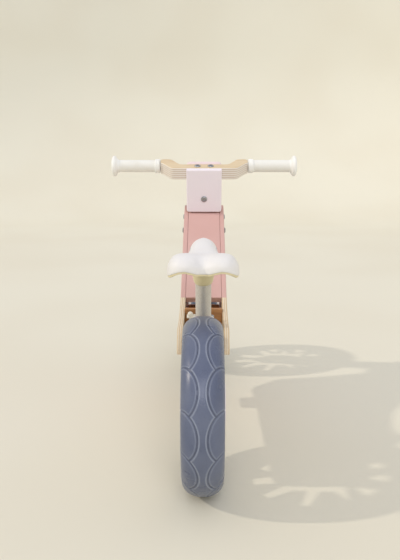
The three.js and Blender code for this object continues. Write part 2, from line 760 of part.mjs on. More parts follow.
function forkCrown() {
  const half = BLADE_INNER - CLEARANCE;
  const block = box([-half, -HEAD_HALF_DEPTH, CROWN_BOTTOM], [half, HEAD_HALF_DEPTH, CROWN_TOP]);
  const bore = rod('z', CROWN_BOTTOM + 6, CROWN_TOP + 5, STEERER_RADIUS + CLEARANCE);
  const screwHoles = SIDES.map(({ sign }) => {
    const [x0, x1] = span(sign, BLADE_OUTER - 30, BLADE_OUTER);
    return rod('x', x0, x1, SCREW_HOLE_RADIUS, SCREW_SIDES).translate(0, CROWN_SCREW.y, CROWN_SCREW.z);
  });
  return named('fork_crown', cut(block, bore, ...screwHoles), PALE_PAINT);
}

const STEERER_TOP = 60;
const STEM_TOP = BAR_TOP - BAR_THICKNESS - CLEARANCE;
const CHEEK_NEAR = -STEM_CORE_HALF_DEPTH - CLEARANCE;
const CHEEK_FAR = CHEEK_NEAR - STEM_CHEEK_THICKNESS;
const CHEEK_SCREW_HEIGHT = 30.5;
const FRONT_PLATE_RISE = 1.5; // how far the front plate stands above the handlebar
const BAR_SCREW_X = 13.5;
const BAR_SCREW_END = 40;
const BAR_SCREW = { shankRadius: 2.6, headRadius: 5.4, headHeight: 2.2 };

function crossHole(y0, y1) {
  return rod('y', y0, y1, SCREW_HOLE_RADIUS, SCREW_SIDES).translate(0, 0, CHEEK_SCREW_HEIGHT);
}

function stemPieces() {
  const panelScrewTip = STEERER_RADIUS + 1.5;
  const cheekOutline = roundedPanel(STEM_HALF_WIDTH, 0, BAR_TOP, 6, 2);
  const cheek = cut(forward(cheekOutline, CHEEK_FAR, CHEEK_NEAR), crossHole(-40, 0));
  const frontOutline = roundedPanel(STEM_HALF_WIDTH + 1, 0, BAR_TOP + FRONT_PLATE_RISE, 6, 10);
  const front = cut(forward(frontOutline, -CHEEK_NEAR, -CHEEK_FAR), crossHole(0, 40));
  const depth = STEM_CORE_HALF_DEPTH;
  const block = box([-STEM_CORE_HALF_WIDTH, -depth, 0], [STEM_CORE_HALF_WIDTH, depth, STEM_TOP]);
  const bore = rod('z', -5, STEERER_TOP + 1, STEERER_RADIUS + CLEARANCE);
  const barScrewHoles = [-1, 1].map((sign) => {
    const hole = rod('z', BAR_SCREW_END - 1, BAR_TOP, BAR_SCREW.shankRadius + CLEARANCE, SCREW_SIDES);
    return hole.translate(sign * BAR_SCREW_X, 0, 0);
  });
  const core = cut(block, bore, crossHole(-40, 40), ...barScrewHoles);
  const screw = (sign) => {
    return buttonScrew('y', sign, -CHEEK_FAR, panelScrewTip).translate(0, 0, CHEEK_SCREW_HEIGHT);
  };
  return [
    named('stem_rear_cheek', cheek, PALE_PAINT),
    named('stem_front_plate', front, PINK_PAINT),
    named('stem_core', core, BEECH),
    named('stem_rear_screw', screw(-1), DARK_STEEL),
    named('stem_front_screw', screw(1), DARK_STEEL),
  ];
}

function handlebar() {
  const depth = STEM_CORE_HALF_DEPTH;
  const right = [
    [67.5, -depth],
    [88, ARM.rear],
    [ARM.end, ARM.rear],
    [ARM.end, ARM.front],
    [69, ARM.front],
    [50, depth],
  ];
  const left = right.map(([x, f]) => [-x, f]).reverse();
  const outline = roundedPolygon([...left, ...right], 7);
  const plate = upward(outline, BAR_TOP - BAR_THICKNESS, BAR_TOP, 3);
  const holes = SIDES.flatMap(({ sign }) => {
    const [x0, x1] = span(sign, GRIP_TUBE_START - 0.5, ARM.end + 5);
    const bore = rod('x', x0, x1, GRIP_TUBE_RADIUS + CLEARANCE);
    const screwHole = rod('z', 0, BAR_TOP + 5, BAR_SCREW.shankRadius + CLEARANCE, SCREW_SIDES);
    return [
      bore.translate(0, GRIP_AXIS.f, GRIP_AXIS.s),
      screwHole.translate(sign * BAR_SCREW_X, 0, 0),
    ];
  });
  return named('handlebar', cut(plate, ...holes), PLYWOOD);
}

const GRIP_TUBE_RADIUS = 8;
const GRIP_TUBE_START = 69;
const GRIP_TUBE_END = 184;

function grip({ name, sign }) {
  const bore = GRIP_TUBE_RADIUS + CLEARANCE;
  const flangeStart = GRIP_END - 12;
  const profile = [
    [GRIP_START, bore],
    [GRIP_START, GRIP_COLLAR_RADIUS],
    [GRIP_START + 10, GRIP_COLLAR_RADIUS],
    [GRIP_START + 12, GRIP_RADIUS],
    [flangeStart - 5, GRIP_RADIUS + 0.4],
    [flangeStart + 1, GRIP_FLANGE_RADIUS - 2.6],
    [flangeStart + 5, GRIP_FLANGE_RADIUS],
    [flangeStart + 9, GRIP_FLANGE_RADIUS - 0.6],
    [GRIP_END, GRIP_RADIUS + 2.5],
    [GRIP_END, 0],
    [GRIP_TUBE_END + 1, 0],
    [GRIP_TUBE_END + 1, bore],
    [GRIP_START, bore],
  ];
  const body = turned('x', profile.map(([along, radius]) => [sign * along, radius]));
  const tube = span(sign, GRIP_TUBE_START, GRIP_TUBE_END);
  const pieces = [
    named(`grip_${name}`, body, GRIP_RUBBER),
    named(`grip_tube_${name}`, ring('x', ...tube, 6.5, GRIP_TUBE_RADIUS), STEEL),
  ];
  pieces.forEach((piece) => piece.position.set(0, GRIP_AXIS.f, GRIP_AXIS.s));
  return pieces;
}

function barScrew({ name, sign }) {
  const screw = buttonScrew('z', 1, BAR_TOP, BAR_SCREW_END, BAR_SCREW);
  return named(`handlebar_screw_${name}`, screw.translate(sign * BAR_SCREW_X, 0, 0), DARK_STEEL);
}

const FRONT_NUT = { from: BLADE_OUTER + CLEARANCE, to: 52, radius: 8.5 };

function frontAxle() {
  const at = [0, FRONT_AXLE.f, FRONT_AXLE.s];
  const axle = named('front_axle', rod('x', -50, 50, AXLE_RADIUS), STEEL);
  const nuts = SIDES.map(({ name, sign }) => {
    const [x0, x1] = span(sign, FRONT_NUT.from, FRONT_NUT.to);
    const nut = ring('x', x0, x1, AXLE_RADIUS + CLEARANCE, FRONT_NUT.radius);
    return named(`front_axle_nut_${name}`, nut, DARK_STEEL);
  });
  const pieces = [axle, ...nuts];
  pieces.forEach((piece) => piece.position.set(...at));
  return pieces;
}

function crownScrew({ name, sign }) {
  const screw = sideScrew(sign, BLADE_OUTER, 28, CROWN_SCREW);
  return named(`crown_screw_${name}`, screw, DARK_STEEL);
}

// ---- Assembly ----

const frame = new THREE.Group();
frame.position.y = -WHEELBASE / 2;
frame.add(
  ...SIDES.map(sidePlate),
  topBoard(),
  seatCrossboard(),
  frontCrossboard(),
  bellyBlock(),
  ...SIDES.map(dropout),
  headBlock(),
  ...frameScrews(),
  seatTube(),
  saddleSocket(),
  saddle(),
  ...rearAxle(),
);

const seatGroup = new THREE.Group();
seatGroup.position.set(0, SEAT_POINT.y, SEAT_POINT.z);
seatGroup.rotation.x = SEAT_LEAN;
seatGroup.add(seatCollar(), ...collarFasteners(), seatPost());

const steering = new THREE.Group();
steering.position.set(0, STEER_POINT.y, STEER_POINT.z);
steering.rotation.x = STEER_LEAN;
steering.add(
  ...headsetBushes(),
  named('steerer', rod('z', CROWN_BOTTOM + 6.5, STEERER_TOP, STEERER_RADIUS), STEEL),
  forkCrown(),
  ...SIDES.map(forkBlade),
  ...stemPieces(),
  handlebar(),
  ...SIDES.flatMap(grip),
  ...SIDES.map(barScrew),
  ...frontAxle(),
  ...SIDES.map(crownScrew),
);

frame.add(seatGroup, steering, wheel('rear', 0), wheel('front', WHEELBASE));

const bike = new THREE.Group();
bike.add(frame);

export default bike;
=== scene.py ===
"""The looks of a child's wooden balance bike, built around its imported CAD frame.

Metres, +Z up, +Y forward, +X to the rider's right. The origin lies on the ground, midway
between the two axles. Every CAD node is stood for by a finer piece of the same name that
rides on the same body: prisms get rounded edges, turned pieces are turned again with more
sides, and the saddle and the tyres are built from their own surfaces.
"""

import json
import math

import bmesh
import bpy
import numpy as np
from mathutils import Matrix, Vector
from mathutils.geometry import tessellate_polygon


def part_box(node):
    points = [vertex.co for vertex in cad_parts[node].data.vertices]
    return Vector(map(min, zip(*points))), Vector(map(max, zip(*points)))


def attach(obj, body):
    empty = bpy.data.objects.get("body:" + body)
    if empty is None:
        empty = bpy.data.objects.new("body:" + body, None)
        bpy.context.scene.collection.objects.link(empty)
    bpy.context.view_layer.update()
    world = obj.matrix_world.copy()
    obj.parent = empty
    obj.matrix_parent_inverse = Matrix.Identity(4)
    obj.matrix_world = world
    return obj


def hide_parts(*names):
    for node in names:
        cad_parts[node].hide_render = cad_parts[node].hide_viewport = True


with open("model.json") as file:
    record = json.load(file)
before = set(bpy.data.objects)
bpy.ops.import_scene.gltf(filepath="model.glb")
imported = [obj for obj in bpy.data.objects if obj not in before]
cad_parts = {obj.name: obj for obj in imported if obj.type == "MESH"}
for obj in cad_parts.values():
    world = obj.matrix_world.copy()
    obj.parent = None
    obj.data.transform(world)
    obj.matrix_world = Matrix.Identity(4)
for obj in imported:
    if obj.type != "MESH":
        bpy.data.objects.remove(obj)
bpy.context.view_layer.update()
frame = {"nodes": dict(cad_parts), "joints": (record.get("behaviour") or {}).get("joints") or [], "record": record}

MM = 0.001
RECORD = frame["record"]
JOINTS = {joint["name"]: joint for joint in frame["joints"]}
BODY_OF_NODE = {
    node: body for body, nodes in RECORD["behaviour"]["bodies"].items() for node in nodes
}


# ---- Local frames ----


def frame_matrix(origin, x_axis, z_axis):
    """The matrix from a local frame to the row frame."""
    z = Vector(z_axis).normalized()
    x = Vector(x_axis).normalized()
    y = z.cross(x)
    turn = Matrix((x, y, z)).transposed().to_4x4()
    return Matrix.Translation(Vector(origin)) @ turn


def middle(node):
    low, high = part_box(node)
    return (low + high) / 2


STEER_AXIS = Vector(JOINTS["steering_turn"]["axis"])
STEER_ORIGIN = Vector(JOINTS["steering_turn"]["pos_m"])
STEER_LEAN = math.atan2(-STEER_AXIS.y, STEER_AXIS.z)
SEAT_AXIS = Vector(JOINTS["seat_height"]["axis"])
SEAT_ORIGIN = middle("seat_post")
FRONT_AXLE = Vector(JOINTS["front_wheel_spin"]["pos_m"])
REAR_AXLE = Vector(JOINTS["rear_wheel_spin"]["pos_m"])

STEERING = frame_matrix(STEER_ORIGIN, (1, 0, 0), STEER_AXIS)
SEAT = frame_matrix(SEAT_ORIGIN, (1, 0, 0), SEAT_AXIS)
STEERING_FORWARD = STEERING @ frame_matrix((0, 0, 0), (1, 0, 0), (0, 1, 0))


def axle_frame(centre, sign=1):
    """A frame whose Z axis points to the right, or to the left when the sign is negative."""
    return frame_matrix(centre, (0, 1, 0), (sign, 0, 0))


ALONG_X = axle_frame((0, 0, 0))
STEERING_SIDEWAYS = STEERING @ ALONG_X


def local_points(node, to_row):
    """A CAD node's vertices in a local frame, as an array."""
    inverse = to_row.inverted()
    return np.array([inverse @ v.co for v in frame["nodes"][node].data.vertices])


def extent(node, to_row):
    """Where a CAD node starts and ends along local Z, and its radius round that axis."""
    x, y, z = local_points(node, to_row).T
    return z.min(), z.max(), np.hypot(x, y).max()


# ---- Materials ----


def is_socket(value):
    return isinstance(value, bpy.types.NodeSocket)


class Shader:
    """A node material, built one node at a time."""

    def __init__(self, name, color, roughness, metallic=0.0):
        self.material = bpy.data.materials.new(name)
        self.material.use_nodes = True
        self.material.diffuse_color = (*color, 1)
        self.tree = self.material.node_tree
        self.surface = self.tree.nodes["Principled BSDF"]
        values = {"Base Color": (*color, 1), "Roughness": roughness, "Metallic": metallic}
        self.set(self.surface, values)
        self.where = self.add("ShaderNodeTexCoord")

    def set(self, node, values):
        """Links each input to a socket, or gives it a fixed value."""
        for key, value in values.items():
            if is_socket(value):
                self.tree.links.new(value, node.inputs[key])
            else:
                node.inputs[key].default_value = value

    def add(self, kind, values=None, **properties):
        node = self.tree.nodes.new(kind)
        for key, value in properties.items():
            setattr(node, key, value)
        self.set(node, values or {})
        return node

    def seen_from(self, what, origin, rotation):
        """Object coordinates or normals, in a local frame."""
        values = {"Vector": self.where.outputs[what], "Location": origin, "Rotation": rotation}
        return self.add("ShaderNodeMapping", values, vector_type="TEXTURE").outputs[0]

    def position(self, origin=(0, 0, 0), rotation=(0, 0, 0)):
        return self.seen_from("Object", origin, rotation)

    def normal(self, rotation=(0, 0, 0)):
        return self.split(self.seen_from("Normal", (0, 0, 0), rotation))

    def split(self, vector):
        return self.add("ShaderNodeSeparateXYZ", {"Vector": vector}).outputs

    def noise(self, vector, scale, detail=3.0, roughness=0.5):
        values = {"Vector": vector, "Scale": scale, "Detail": detail, "Roughness": roughness}
        return self.add("ShaderNodeTexNoise", values).outputs["Fac"]

    def streaks(self, vector, scale, detail=3.0, roughness=0.5):
        """Noise drawn out along the axes whose scale is low."""
        stretched = self.add("ShaderNodeMapping", {"Vector": vector, "Scale": scale}).outputs[0]
        return self.noise(stretched, 1.0, detail, roughness)

    def stored(self, name):
        """A number that the mesh holds for each of its points."""
        return self.add("ShaderNodeAttribute", attribute_name=name).outputs["Fac"]

    def math(self, operation, a, b=0.0, c=0.0):
        return self.add("ShaderNodeMath", {0: a, 1: b, 2: c}, operation=operation).outputs[0]

    def times(self, a, b):
        return self.math("MULTIPLY", a, b)

    def absolute(self, value):
        return self.math("ABSOLUTE", value)

    def ramp(self, value, low, high, to_low=0.0, to_high=1.0):
        """A smooth step from to_low to to_high as value goes from low to high."""
        values = {"Value": value, "From Min": low, "From Max": high}
        values |= {"To Min": to_low, "To Max": to_high}
        return self.add("ShaderNodeMapRange", values, interpolation_type="SMOOTHSTEP").outputs[0]

    def mix(self, factor, a, b):
        a, b = (color if is_socket(color) else (*color, 1) for color in (a, b))
        values = {0: factor, 6: a, 7: b}
        return self.add("ShaderNodeMix", values, data_type="RGBA").outputs[2]

    def tint(self, color, other, value, low, high, amount):
        """A colour mixed with another by up to an amount, as a value goes from low to high."""
        return self.mix(self.ramp(value, low, high, 0.0, amount), color, other)

    def bump(self, height, strength, distance, after=None):
        values = {"Height": height, "Strength": strength, "Distance": distance}
        if after is not None:
            values["Normal"] = after
        return self.add("ShaderNodeBump", values).outputs[0]

    def finish(self, color, roughness=None, normal=None):
        wanted = {"Base Color": color, "Roughness": roughness, "Normal": normal}
        self.set(self.surface, {key: value for key, value in wanted.items() if value is not None})
        return self.material


def linear(code):
    """A linear colour from an sRGB hex code."""
    channels = [int(code[i : i + 2], 16) / 255 for i in (0, 2, 4)]
    return tuple(c / 12.92 if c <= 0.04045 else ((c + 0.055) / 1.055) ** 2.4 for c in channels)


PLY_LAYER = 1.5 * MM
BAR_PLY_LAYER = 2.1 * MM
PLY_LIGHT = linear("f0e6d4")
PLY_DARK = linear("d8c09a")
PLY_FACE = linear("e0cca9")
PLY_GRAIN = linear("c9ab7e")
PLY_GLUE = linear("a9835a")
PINK = linear("d3aaa3")
PINK_WORN = linear("dfbdb7")
PALE_PINK = linear("f4ecf6")


def ply_color(shader, position, normal, phase, thickness=PLY_LAYER):
    """Bare plywood: stripes where the layers are cut through, grain on the faces.

    Local Z is square to the layers, and the faces' grain runs along local Y.
    """
    axes = shader.split(position)
    wobble = shader.noise(position, 60.0, detail=2.0)
    shift = shader.math("MULTIPLY_ADD", wobble, 0.5 * MM, phase)
    depth = shader.math("ADD", axes[2], shift)
    layer = shader.math("PINGPONG", shader.math("DIVIDE", depth, thickness), 1.0)
    fibres = shader.streaks(position, (260.0, 22.0, 900.0), detail=5.0, roughness=0.6)
    stripe = shader.ramp(layer, 0.42, 0.6)
    cut = shader.mix(stripe, PLY_LIGHT, PLY_DARK)
    from_glue = shader.absolute(shader.math("SUBTRACT", layer, 0.5))
    glue = shader.ramp(from_glue, 0.0, 0.16, 0.45, 0.0)
    cut = shader.mix(glue, cut, PLY_GLUE)
    cut = shader.tint(cut, PLY_GRAIN, fibres, 0.45, 0.75, 0.35)
    figure = shader.streaks(position, (70.0, 5.0, 8.0), detail=4.0, roughness=0.55)
    rings = shader.math("PINGPONG", shader.times(figure, 9.0), 1.0)
    face = shader.tint(PLY_FACE, PLY_GRAIN, rings, 0.35, 1.0, 0.38)
    face = shader.tint(face, PLY_GRAIN, fibres, 0.5, 0.8, 0.3)
    facing = shader.ramp(shader.absolute(normal[2]), 0.55, 0.8)
    return shader.mix(facing, cut, face), fibres, stripe


def paint_color(shader, position, color, worn, edge_normal):
    """Brushed satin paint with slight clouds and thin places along the edges."""
    clouds = shader.noise(position, 14.0)
    tone = shader.tint(color, worn, clouds, 0.3, 0.7, 0.22)
    rub = shader.noise(position, 90.0, detail=4.0, roughness=0.7)
    edge = shader.ramp(shader.absolute(edge_normal), 0.2, 0.6)
    back = shader.ramp(shader.absolute(edge_normal), 0.75, 0.97, 1.0, 0.0)
    on_edge = shader.times(edge, back)
    chips = shader.times(on_edge, shader.ramp(rub, 0.42, 0.62))
    return shader.mix(shader.times(chips, 0.7), tone, worn)


def paint_bump(shader, position):
    """Wood fibres showing faintly through the paint, under a fine roller texture."""
    fibres = shader.streaks(position, (420.0, 30.0, 420.0))
    first = shader.bump(fibres, 0.12, 0.3 * MM)
    return shader.bump(shader.noise(position, 1300.0, detail=2.0), 0.08, 0.2 * MM, first)


def side_plywood(paint_start, paint_normal):
    """Plate plywood, painted in front of a sloping line, with its layers square to X."""
    shader = Shader("side_plywood", PLY_FACE, 0.5)
    turn = (0, math.pi / 2, 0)
    local = shader.position(rotation=turn)
    bare, fibres, stripe = ply_color(shader, local, shader.normal(turn), 0.2 * MM)
    unturned = shader.position()
    axes = shader.split(unturned)
    across = shader.math("MULTIPLY_ADD", axes[1], paint_normal.y, -paint_start.dot(paint_normal))
    line = shader.math("MULTIPLY_ADD", axes[2], paint_normal.z, across)
    masked = shader.ramp(line, -0.3 * MM, 0.3 * MM)
    painted = paint_color(shader, unturned, PINK, PINK_WORN, shader.normal()[0])
    ghost = shader.mix(shader.times(stripe, 0.1), painted, linear("c48a82"))
    rough = shader.mix(masked, (0.52, 0.52, 0.52), (0.42, 0.42, 0.42))
    normal = paint_bump(shader, local)
    normal = shader.bump(stripe, 0.1, 0.15 * MM, normal)
    normal = shader.bump(fibres, 0.12, 0.2 * MM, normal)
    return shader.finish(shader.mix(masked, bare, ghost), rough, normal)


def steering_plywood():
    """The handlebar's plywood, bleached, with its layers square to the steering axis."""
    shader = Shader("steering_plywood", PLY_FACE, 0.48)
    turn = (STEER_LEAN, 0, 0)
    local = shader.position(STEER_ORIGIN, turn)
    swapped = shader.add(
        "ShaderNodeMapping", {"Vector": local, "Rotation": (0, 0, math.pi / 2)}
    ).outputs[0]
    normal = shader.normal(turn)
    color, fibres, stripe = ply_color(shader, swapped, normal, 0.6 * MM, BAR_PLY_LAYER)
    edges = shader.ramp(shader.absolute(normal[2]), 0.45, 0.8, 1.0, 0.0)
    color = shader.mix(shader.times(edges, 0.6), color, linear("f2f0f0"))
    dark_layers = shader.times(edges, stripe)
    color = shader.mix(shader.times(dark_layers, 0.3), color, linear("a3835f"))
    normal = shader.bump(fibres, 0.15, 0.25 * MM)
    normal = shader.bump(stripe, 0.12, 0.2 * MM, normal)
    rough = shader.ramp(fibres, 0.3, 0.8, 0.42, 0.58)
    return shader.finish(color, rough, normal)


def painted(name, color, worn, roughness, rotation=(0, 0, 0), edge_axis=2):
    shader = Shader(name, color, roughness)
    position = shader.position(rotation=rotation)
    edge = shader.normal(rotation)[edge_axis]
    tone = paint_color(shader, position, color, worn, edge)
    rough = shader.ramp(shader.noise(position, 35.0), 0.3, 0.7, roughness - 0.05, roughness + 0.06)
    return shader.finish(tone, rough, paint_bump(shader, position))


def powder_coat(name, color):
    shader = Shader(name, color, 0.45)
    position = shader.position()
    pebble = shader.noise(position, 1500.0, detail=2.0)
    tone = shader.tint(color, linear("cbb9ba"), pebble, 0.3, 0.7, 0.08)
    return shader.finish(tone, None, shader.bump(pebble, 0.2, 0.2 * MM))


def beech():
    """Oiled brown wood with fine dark pores, its grain across the bike."""
    color, dark = linear("b78556"), linear("8a5c38")
    shader = Shader("beech", color, 0.55)
    position = shader.position()
    grain = shader.streaks(position, (9.0, 160.0, 160.0), detail=5.0, roughness=0.6)
    rings = shader.math("PINGPONG", shader.times(grain, 7.0), 1.0)
    tone = shader.tint(color, dark, rings, 0.3, 1.0, 0.45)
    pores = shader.streaks(position, (90.0, 1400.0, 1400.0), detail=2.0)
    tone = shader.tint(tone, dark, pores, 0.62, 0.72, 0.6)
    rough = shader.ramp(grain, 0.3, 0.7, 0.48, 0.62)
    return shader.finish(tone, rough, shader.bump(pores, 0.25, 0.25 * MM))


# Per-point masks: the tyre's tread lines get painted shade and its lips a painted highlight; the grips use the
# line mask for their darker ring dips.
TREAD_LINE = "tread_line"
TREAD_LIP = "tread_lip"
MOULD_RIB = 1.5 * MM


def tyre_foam():
    """Blue-grey moulded foam: fine skin, a painted highlight on the lips beside the tread lines, and painted shade
    in the lines and in small pits.
    """
    color, pale_tone_and_lip_highlight, line_and_pit_shade = linear("59627c"), linear("a3abbd"), linear("3f4556")
    shader = Shader("tyre_foam", color, 0.42)
    line = shader.stored(TREAD_LINE)
    lip = shader.stored(TREAD_LIP)
    position = shader.position()
    clouds = shader.noise(position, 22.0)
    tone = shader.tint(color, pale_tone_and_lip_highlight, clouds, 0.3, 0.7, 0.12)
    # Painted highlight on the raised lips beside the tread lines.
    tone = shader.mix(shader.times(lip, 0.62), tone, pale_tone_and_lip_highlight)
    # Painted shade in the tread lines.
    tone = shader.mix(shader.times(line, 0.5), tone, line_and_pit_shade)
    skin = shader.noise(position, 1700.0, detail=2.0, roughness=0.7)
    # Painted shade in small pits of the foam.
    pits = shader.ramp(shader.noise(position, 700.0, detail=1.0), 0.62, 0.72)
    tone = shader.mix(shader.times(pits, 0.25), tone, line_and_pit_shade)
    rough = shader.ramp(clouds, 0.3, 0.7, 0.26, 0.36)
    across = shader.times(shader.split(position)[0], 2 * math.pi / MOULD_RIB)
    ribs = shader.math("MULTIPLY_ADD", shader.math("SINE", across), 0.5, 0.5)
    normal = shader.bump(ribs, 0.1, 0.15 * MM)
    normal = shader.bump(skin, 0.18, 0.3 * MM, normal)
    normal = shader.bump(shader.math("SUBTRACT", 1.0, pits), 0.12, 0.3 * MM, normal)
    return shader.finish(tone, rough, normal)


def moulded_plastic(name, color, shade, roughness, grain):
    """Smooth moulded plastic: soft cloudiness, painted shade on faces that point downwards, and a faint
    spark-eroded texture.
    """
    shader = Shader(name, color, roughness)
    position = shader.position()
    clouds = shader.noise(position, 18.0, detail=2.0)
    tone = shader.tint(color, shade, clouds, 0.35, 0.7, 0.1)
    # Painted shade: faces that point downwards are darkened towards the shade colour.
    under = shader.ramp(shader.normal()[2], -0.9, -0.2, 0.35, 0.0)
    tone = shader.mix(under, tone, shade)
    rough = shader.ramp(clouds, 0.3, 0.7, roughness - 0.04, roughness + 0.05)
    return shader.finish(tone, rough, shader.bump(shader.noise(position, grain), 0.06, 0.15 * MM))


def grip_rubber():
    """Soft off-white rubber with dirty smudges, darker in the dips between its rings."""
    color, smudge_and_dip_tone = linear("f8f9f7"), linear("d4cebe")
    shader = Shader("grip_rubber", color, 0.5)
    position = shader.position()
    smudge = shader.noise(position, 26.0, detail=4.0, roughness=0.6)
    tone = shader.tint(color, smudge_and_dip_tone, smudge, 0.45, 0.8, 0.35)
    ring = shader.stored(TREAD_LINE)
    # Darker in the dips between the rings.
    tone = shader.mix(shader.times(ring, 0.4), tone, smudge_and_dip_tone)
    rough = shader.ramp(smudge, 0.3, 0.7, 0.45, 0.6)
    return shader.finish(tone, rough, shader.bump(shader.noise(position, 2200.0), 0.1, 0.2 * MM))


def steel(name, color, roughness, scale, dull, metallic=1.0):
    """Brushed steel, its brush marks stretched along one axis by the scale."""
    shader = Shader(name, color, roughness, metallic=metallic)
    marks = shader.streaks(shader.position(), scale, detail=4.0, roughness=0.65)
    tone = shader.tint(color, dull, marks, 0.3, 0.7, 0.5)
    rough = shader.ramp(marks, 0.3, 0.7, roughness - 0.06, roughness + 0.1)
    return shader.finish(tone, rough, shader.bump(marks, 0.06, 0.1 * MM))


def studio_paper():
    """The pale floor and backdrop."""
    color, cooler = linear("e4e1d2"), linear("dfdac9")
    shader = Shader("studio_paper", color, 0.9)
    clouds = shader.noise(shader.position(), 1.3, detail=1.0)
    return shader.finish(shader.tint(color, cooler, clouds, 0.35, 0.7, 0.5))


# ---- Mesh helpers ----


def round_steps(distance, radius, count=4):
    """(inset, height below the face) of each step over a rounded edge, from the face down."""
    angles = [math.pi / 2 * i / count for i in range(count + 1)]
    return [(radius * (1 - math.sin(a)), distance - radius * (1 - math.cos(a))) for a in angles]


def add_object(name, mesh, material, sharp=35.0, weighted=False):
    made = bpy.data.objects.new(name, mesh)
    bpy.context.scene.collection.objects.link(made)
    mesh.materials.append(material)
    mesh.shade_smooth()
    mesh.set_sharp_from_angle(angle=math.radians(sharp))
    if weighted:
        weigh_normals(made)
    return made


def weigh_normals(made):
    """Keeps flat faces flat next to rounded edges."""
    made.modifiers.new("flat_faces", "WEIGHTED_NORMAL").keep_sharp = True


SAME_POINT = 1e-6


def to_mesh(name, points, faces, to_row=Matrix.Identity(4), merged=False):
    """A mesh from local points and faces, its faces turned outwards."""
    mesh = bpy.data.meshes.new(name)
    mesh.from_pydata([to_row @ Vector(p) for p in points], [], faces)
    work = bmesh.new()
    work.from_mesh(mesh)
    if merged:
        bmesh.ops.remove_doubles(work, verts=work.verts[:], dist=SAME_POINT)
    bmesh.ops.recalc_face_normals(work, faces=work.faces[:])
    work.to_mesh(mesh)
    work.free()
    return mesh


def stand_for(piece, node):
    """Puts a piece on its CAD node's body and in its place."""
    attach(piece, BODY_OF_NODE[node])
    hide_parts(node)
    return piece


def build(node, shape, to_row, material, sharp=35.0, weighted=False, merged=False):
    """A piece from local (points, faces), standing for its CAD node."""
    mesh = to_mesh(f"{node}.shape", *shape, to_row, merged)
    return stand_for(add_object(f"{node}.fine", mesh, material, sharp, weighted), node)


def set_values(piece, name, values):
    """Stores one number per point, for the piece's material to read."""
    piece.data.attributes.new(name, "FLOAT", "POINT").data.foreach_set("value", values)


def joined(*shapes):
    """Several (points, faces) shapes as one."""
    points, faces = [], []
    for more, more_faces in shapes:
        faces += [tuple(index + len(points) for index in face) for face in more_faces]
        points += [tuple(point) for point in more]
    return points, faces


def bridged(rings):
    """The quads between each closed ring of point indices and the next."""
    quads = []
    for one, two in zip(rings, rings[1:]):
        quads += zip(one, [*one[1:], one[0]], [*two[1:], two[0]], two)
    return quads


def round_point(radius, turn, along):
    """A point at an angle round local Z."""
    return radius * math.cos(turn), radius * math.sin(turn), along


def bend(start, corner, end, steps):
    """Points on the curve from start to end that a corner pulls towards itself."""
    return [start * (1 - t) ** 2 + corner * 2 * t * (1 - t) + end * t**2 for t in steps]


def catmull_rom(a, b, c, d, count):
    """Points of a Catmull-Rom curve from b up to c."""
    a, b, c, d = map(np.array, (a, b, c, d))
    t = np.linspace(0, 1, count, endpoint=False)[:, None]
    curved = (2 * a - 5 * b + 4 * c - d) * t**2 + (3 * b - a - 3 * c + d) * t**3
    return 0.5 * (2 * b + (c - a) * t + curved)


def lengths_along(curve):
    """How far along a curve each of its points lies."""
    return np.concatenate([[0], np.cumsum(np.hypot(*np.diff(curve, axis=0).T))])


def points_at(curve, distances):
    """The points of a curve at some distances along it."""
    along = lengths_along(curve)
    return np.stack([np.interp(distances, along, column) for column in curve.T], 1)


def area(loop):
    return sum(a.x * b.y - b.x * a.y for a, b in zip(loop, loop[1:] + loop[:1])) / 2


def turn_at(loop, i):
    before = loop[i] - loop[i - 1]
    after = loop[(i + 1) % len(loop)] - loop[i]
    return before.angle_signed(after, 0.0), before, after


def clean_loop(loop):
    """Drops repeated points and points in the middle of a straight edge."""
    kept = [p for i, p in enumerate(loop) if (p - loop[i - 1]).length > 1e-5]
    return [p for i, p in enumerate(kept) if abs(turn_at(kept, i)[0]) > math.radians(0.4)]


def cut_loops(node, to_row, depth):
    """A CAD node's outlines in local XY, cut at a local depth, with material on their left."""
    work = bmesh.new()
    work.from_mesh(frame["nodes"][node].data)
    bmesh.ops.transform(work, matrix=to_row.inverted(), verts=work.verts[:])
    bmesh.ops.remove_doubles(work, verts=work.verts[:], dist=SAME_POINT)
    everything = work.verts[:] + work.edges[:] + work.faces[:]
    cut = bmesh.ops.bisect_plane(
        work, geom=everything, dist=1e-7, plane_co=(0, 0, depth), plane_no=(0, 0, 1)
    )["geom_cut"]
    near = {}
    for edge in (e for e in cut if isinstance(e, bmesh.types.BMEdge)):
        a, b = edge.verts
        near.setdefault(a, []).append(b)
        near.setdefault(b, []).append(a)
    loops, seen = [], set()
    for start in near:
        if start in seen:
            continue
        loop, at = [], start
        while at is not None:
            seen.add(at)
            loop.append(Vector(at.co[:2]))
            at = next((v for v in near[at] if v not in seen), None)
        loops.append(clean_loop(loop))
    work.free()
    loops.sort(key=lambda loop: -abs(area(loop)))
    wanted = [1] + [-1] * (len(loops) - 1)
    return [
        loop if area(loop) * sign > 0 else loop[::-1] for loop, sign in zip(loops, wanted)
    ]


SHARP_TURN = math.radians(40)
LONG_RATIO = 2.2


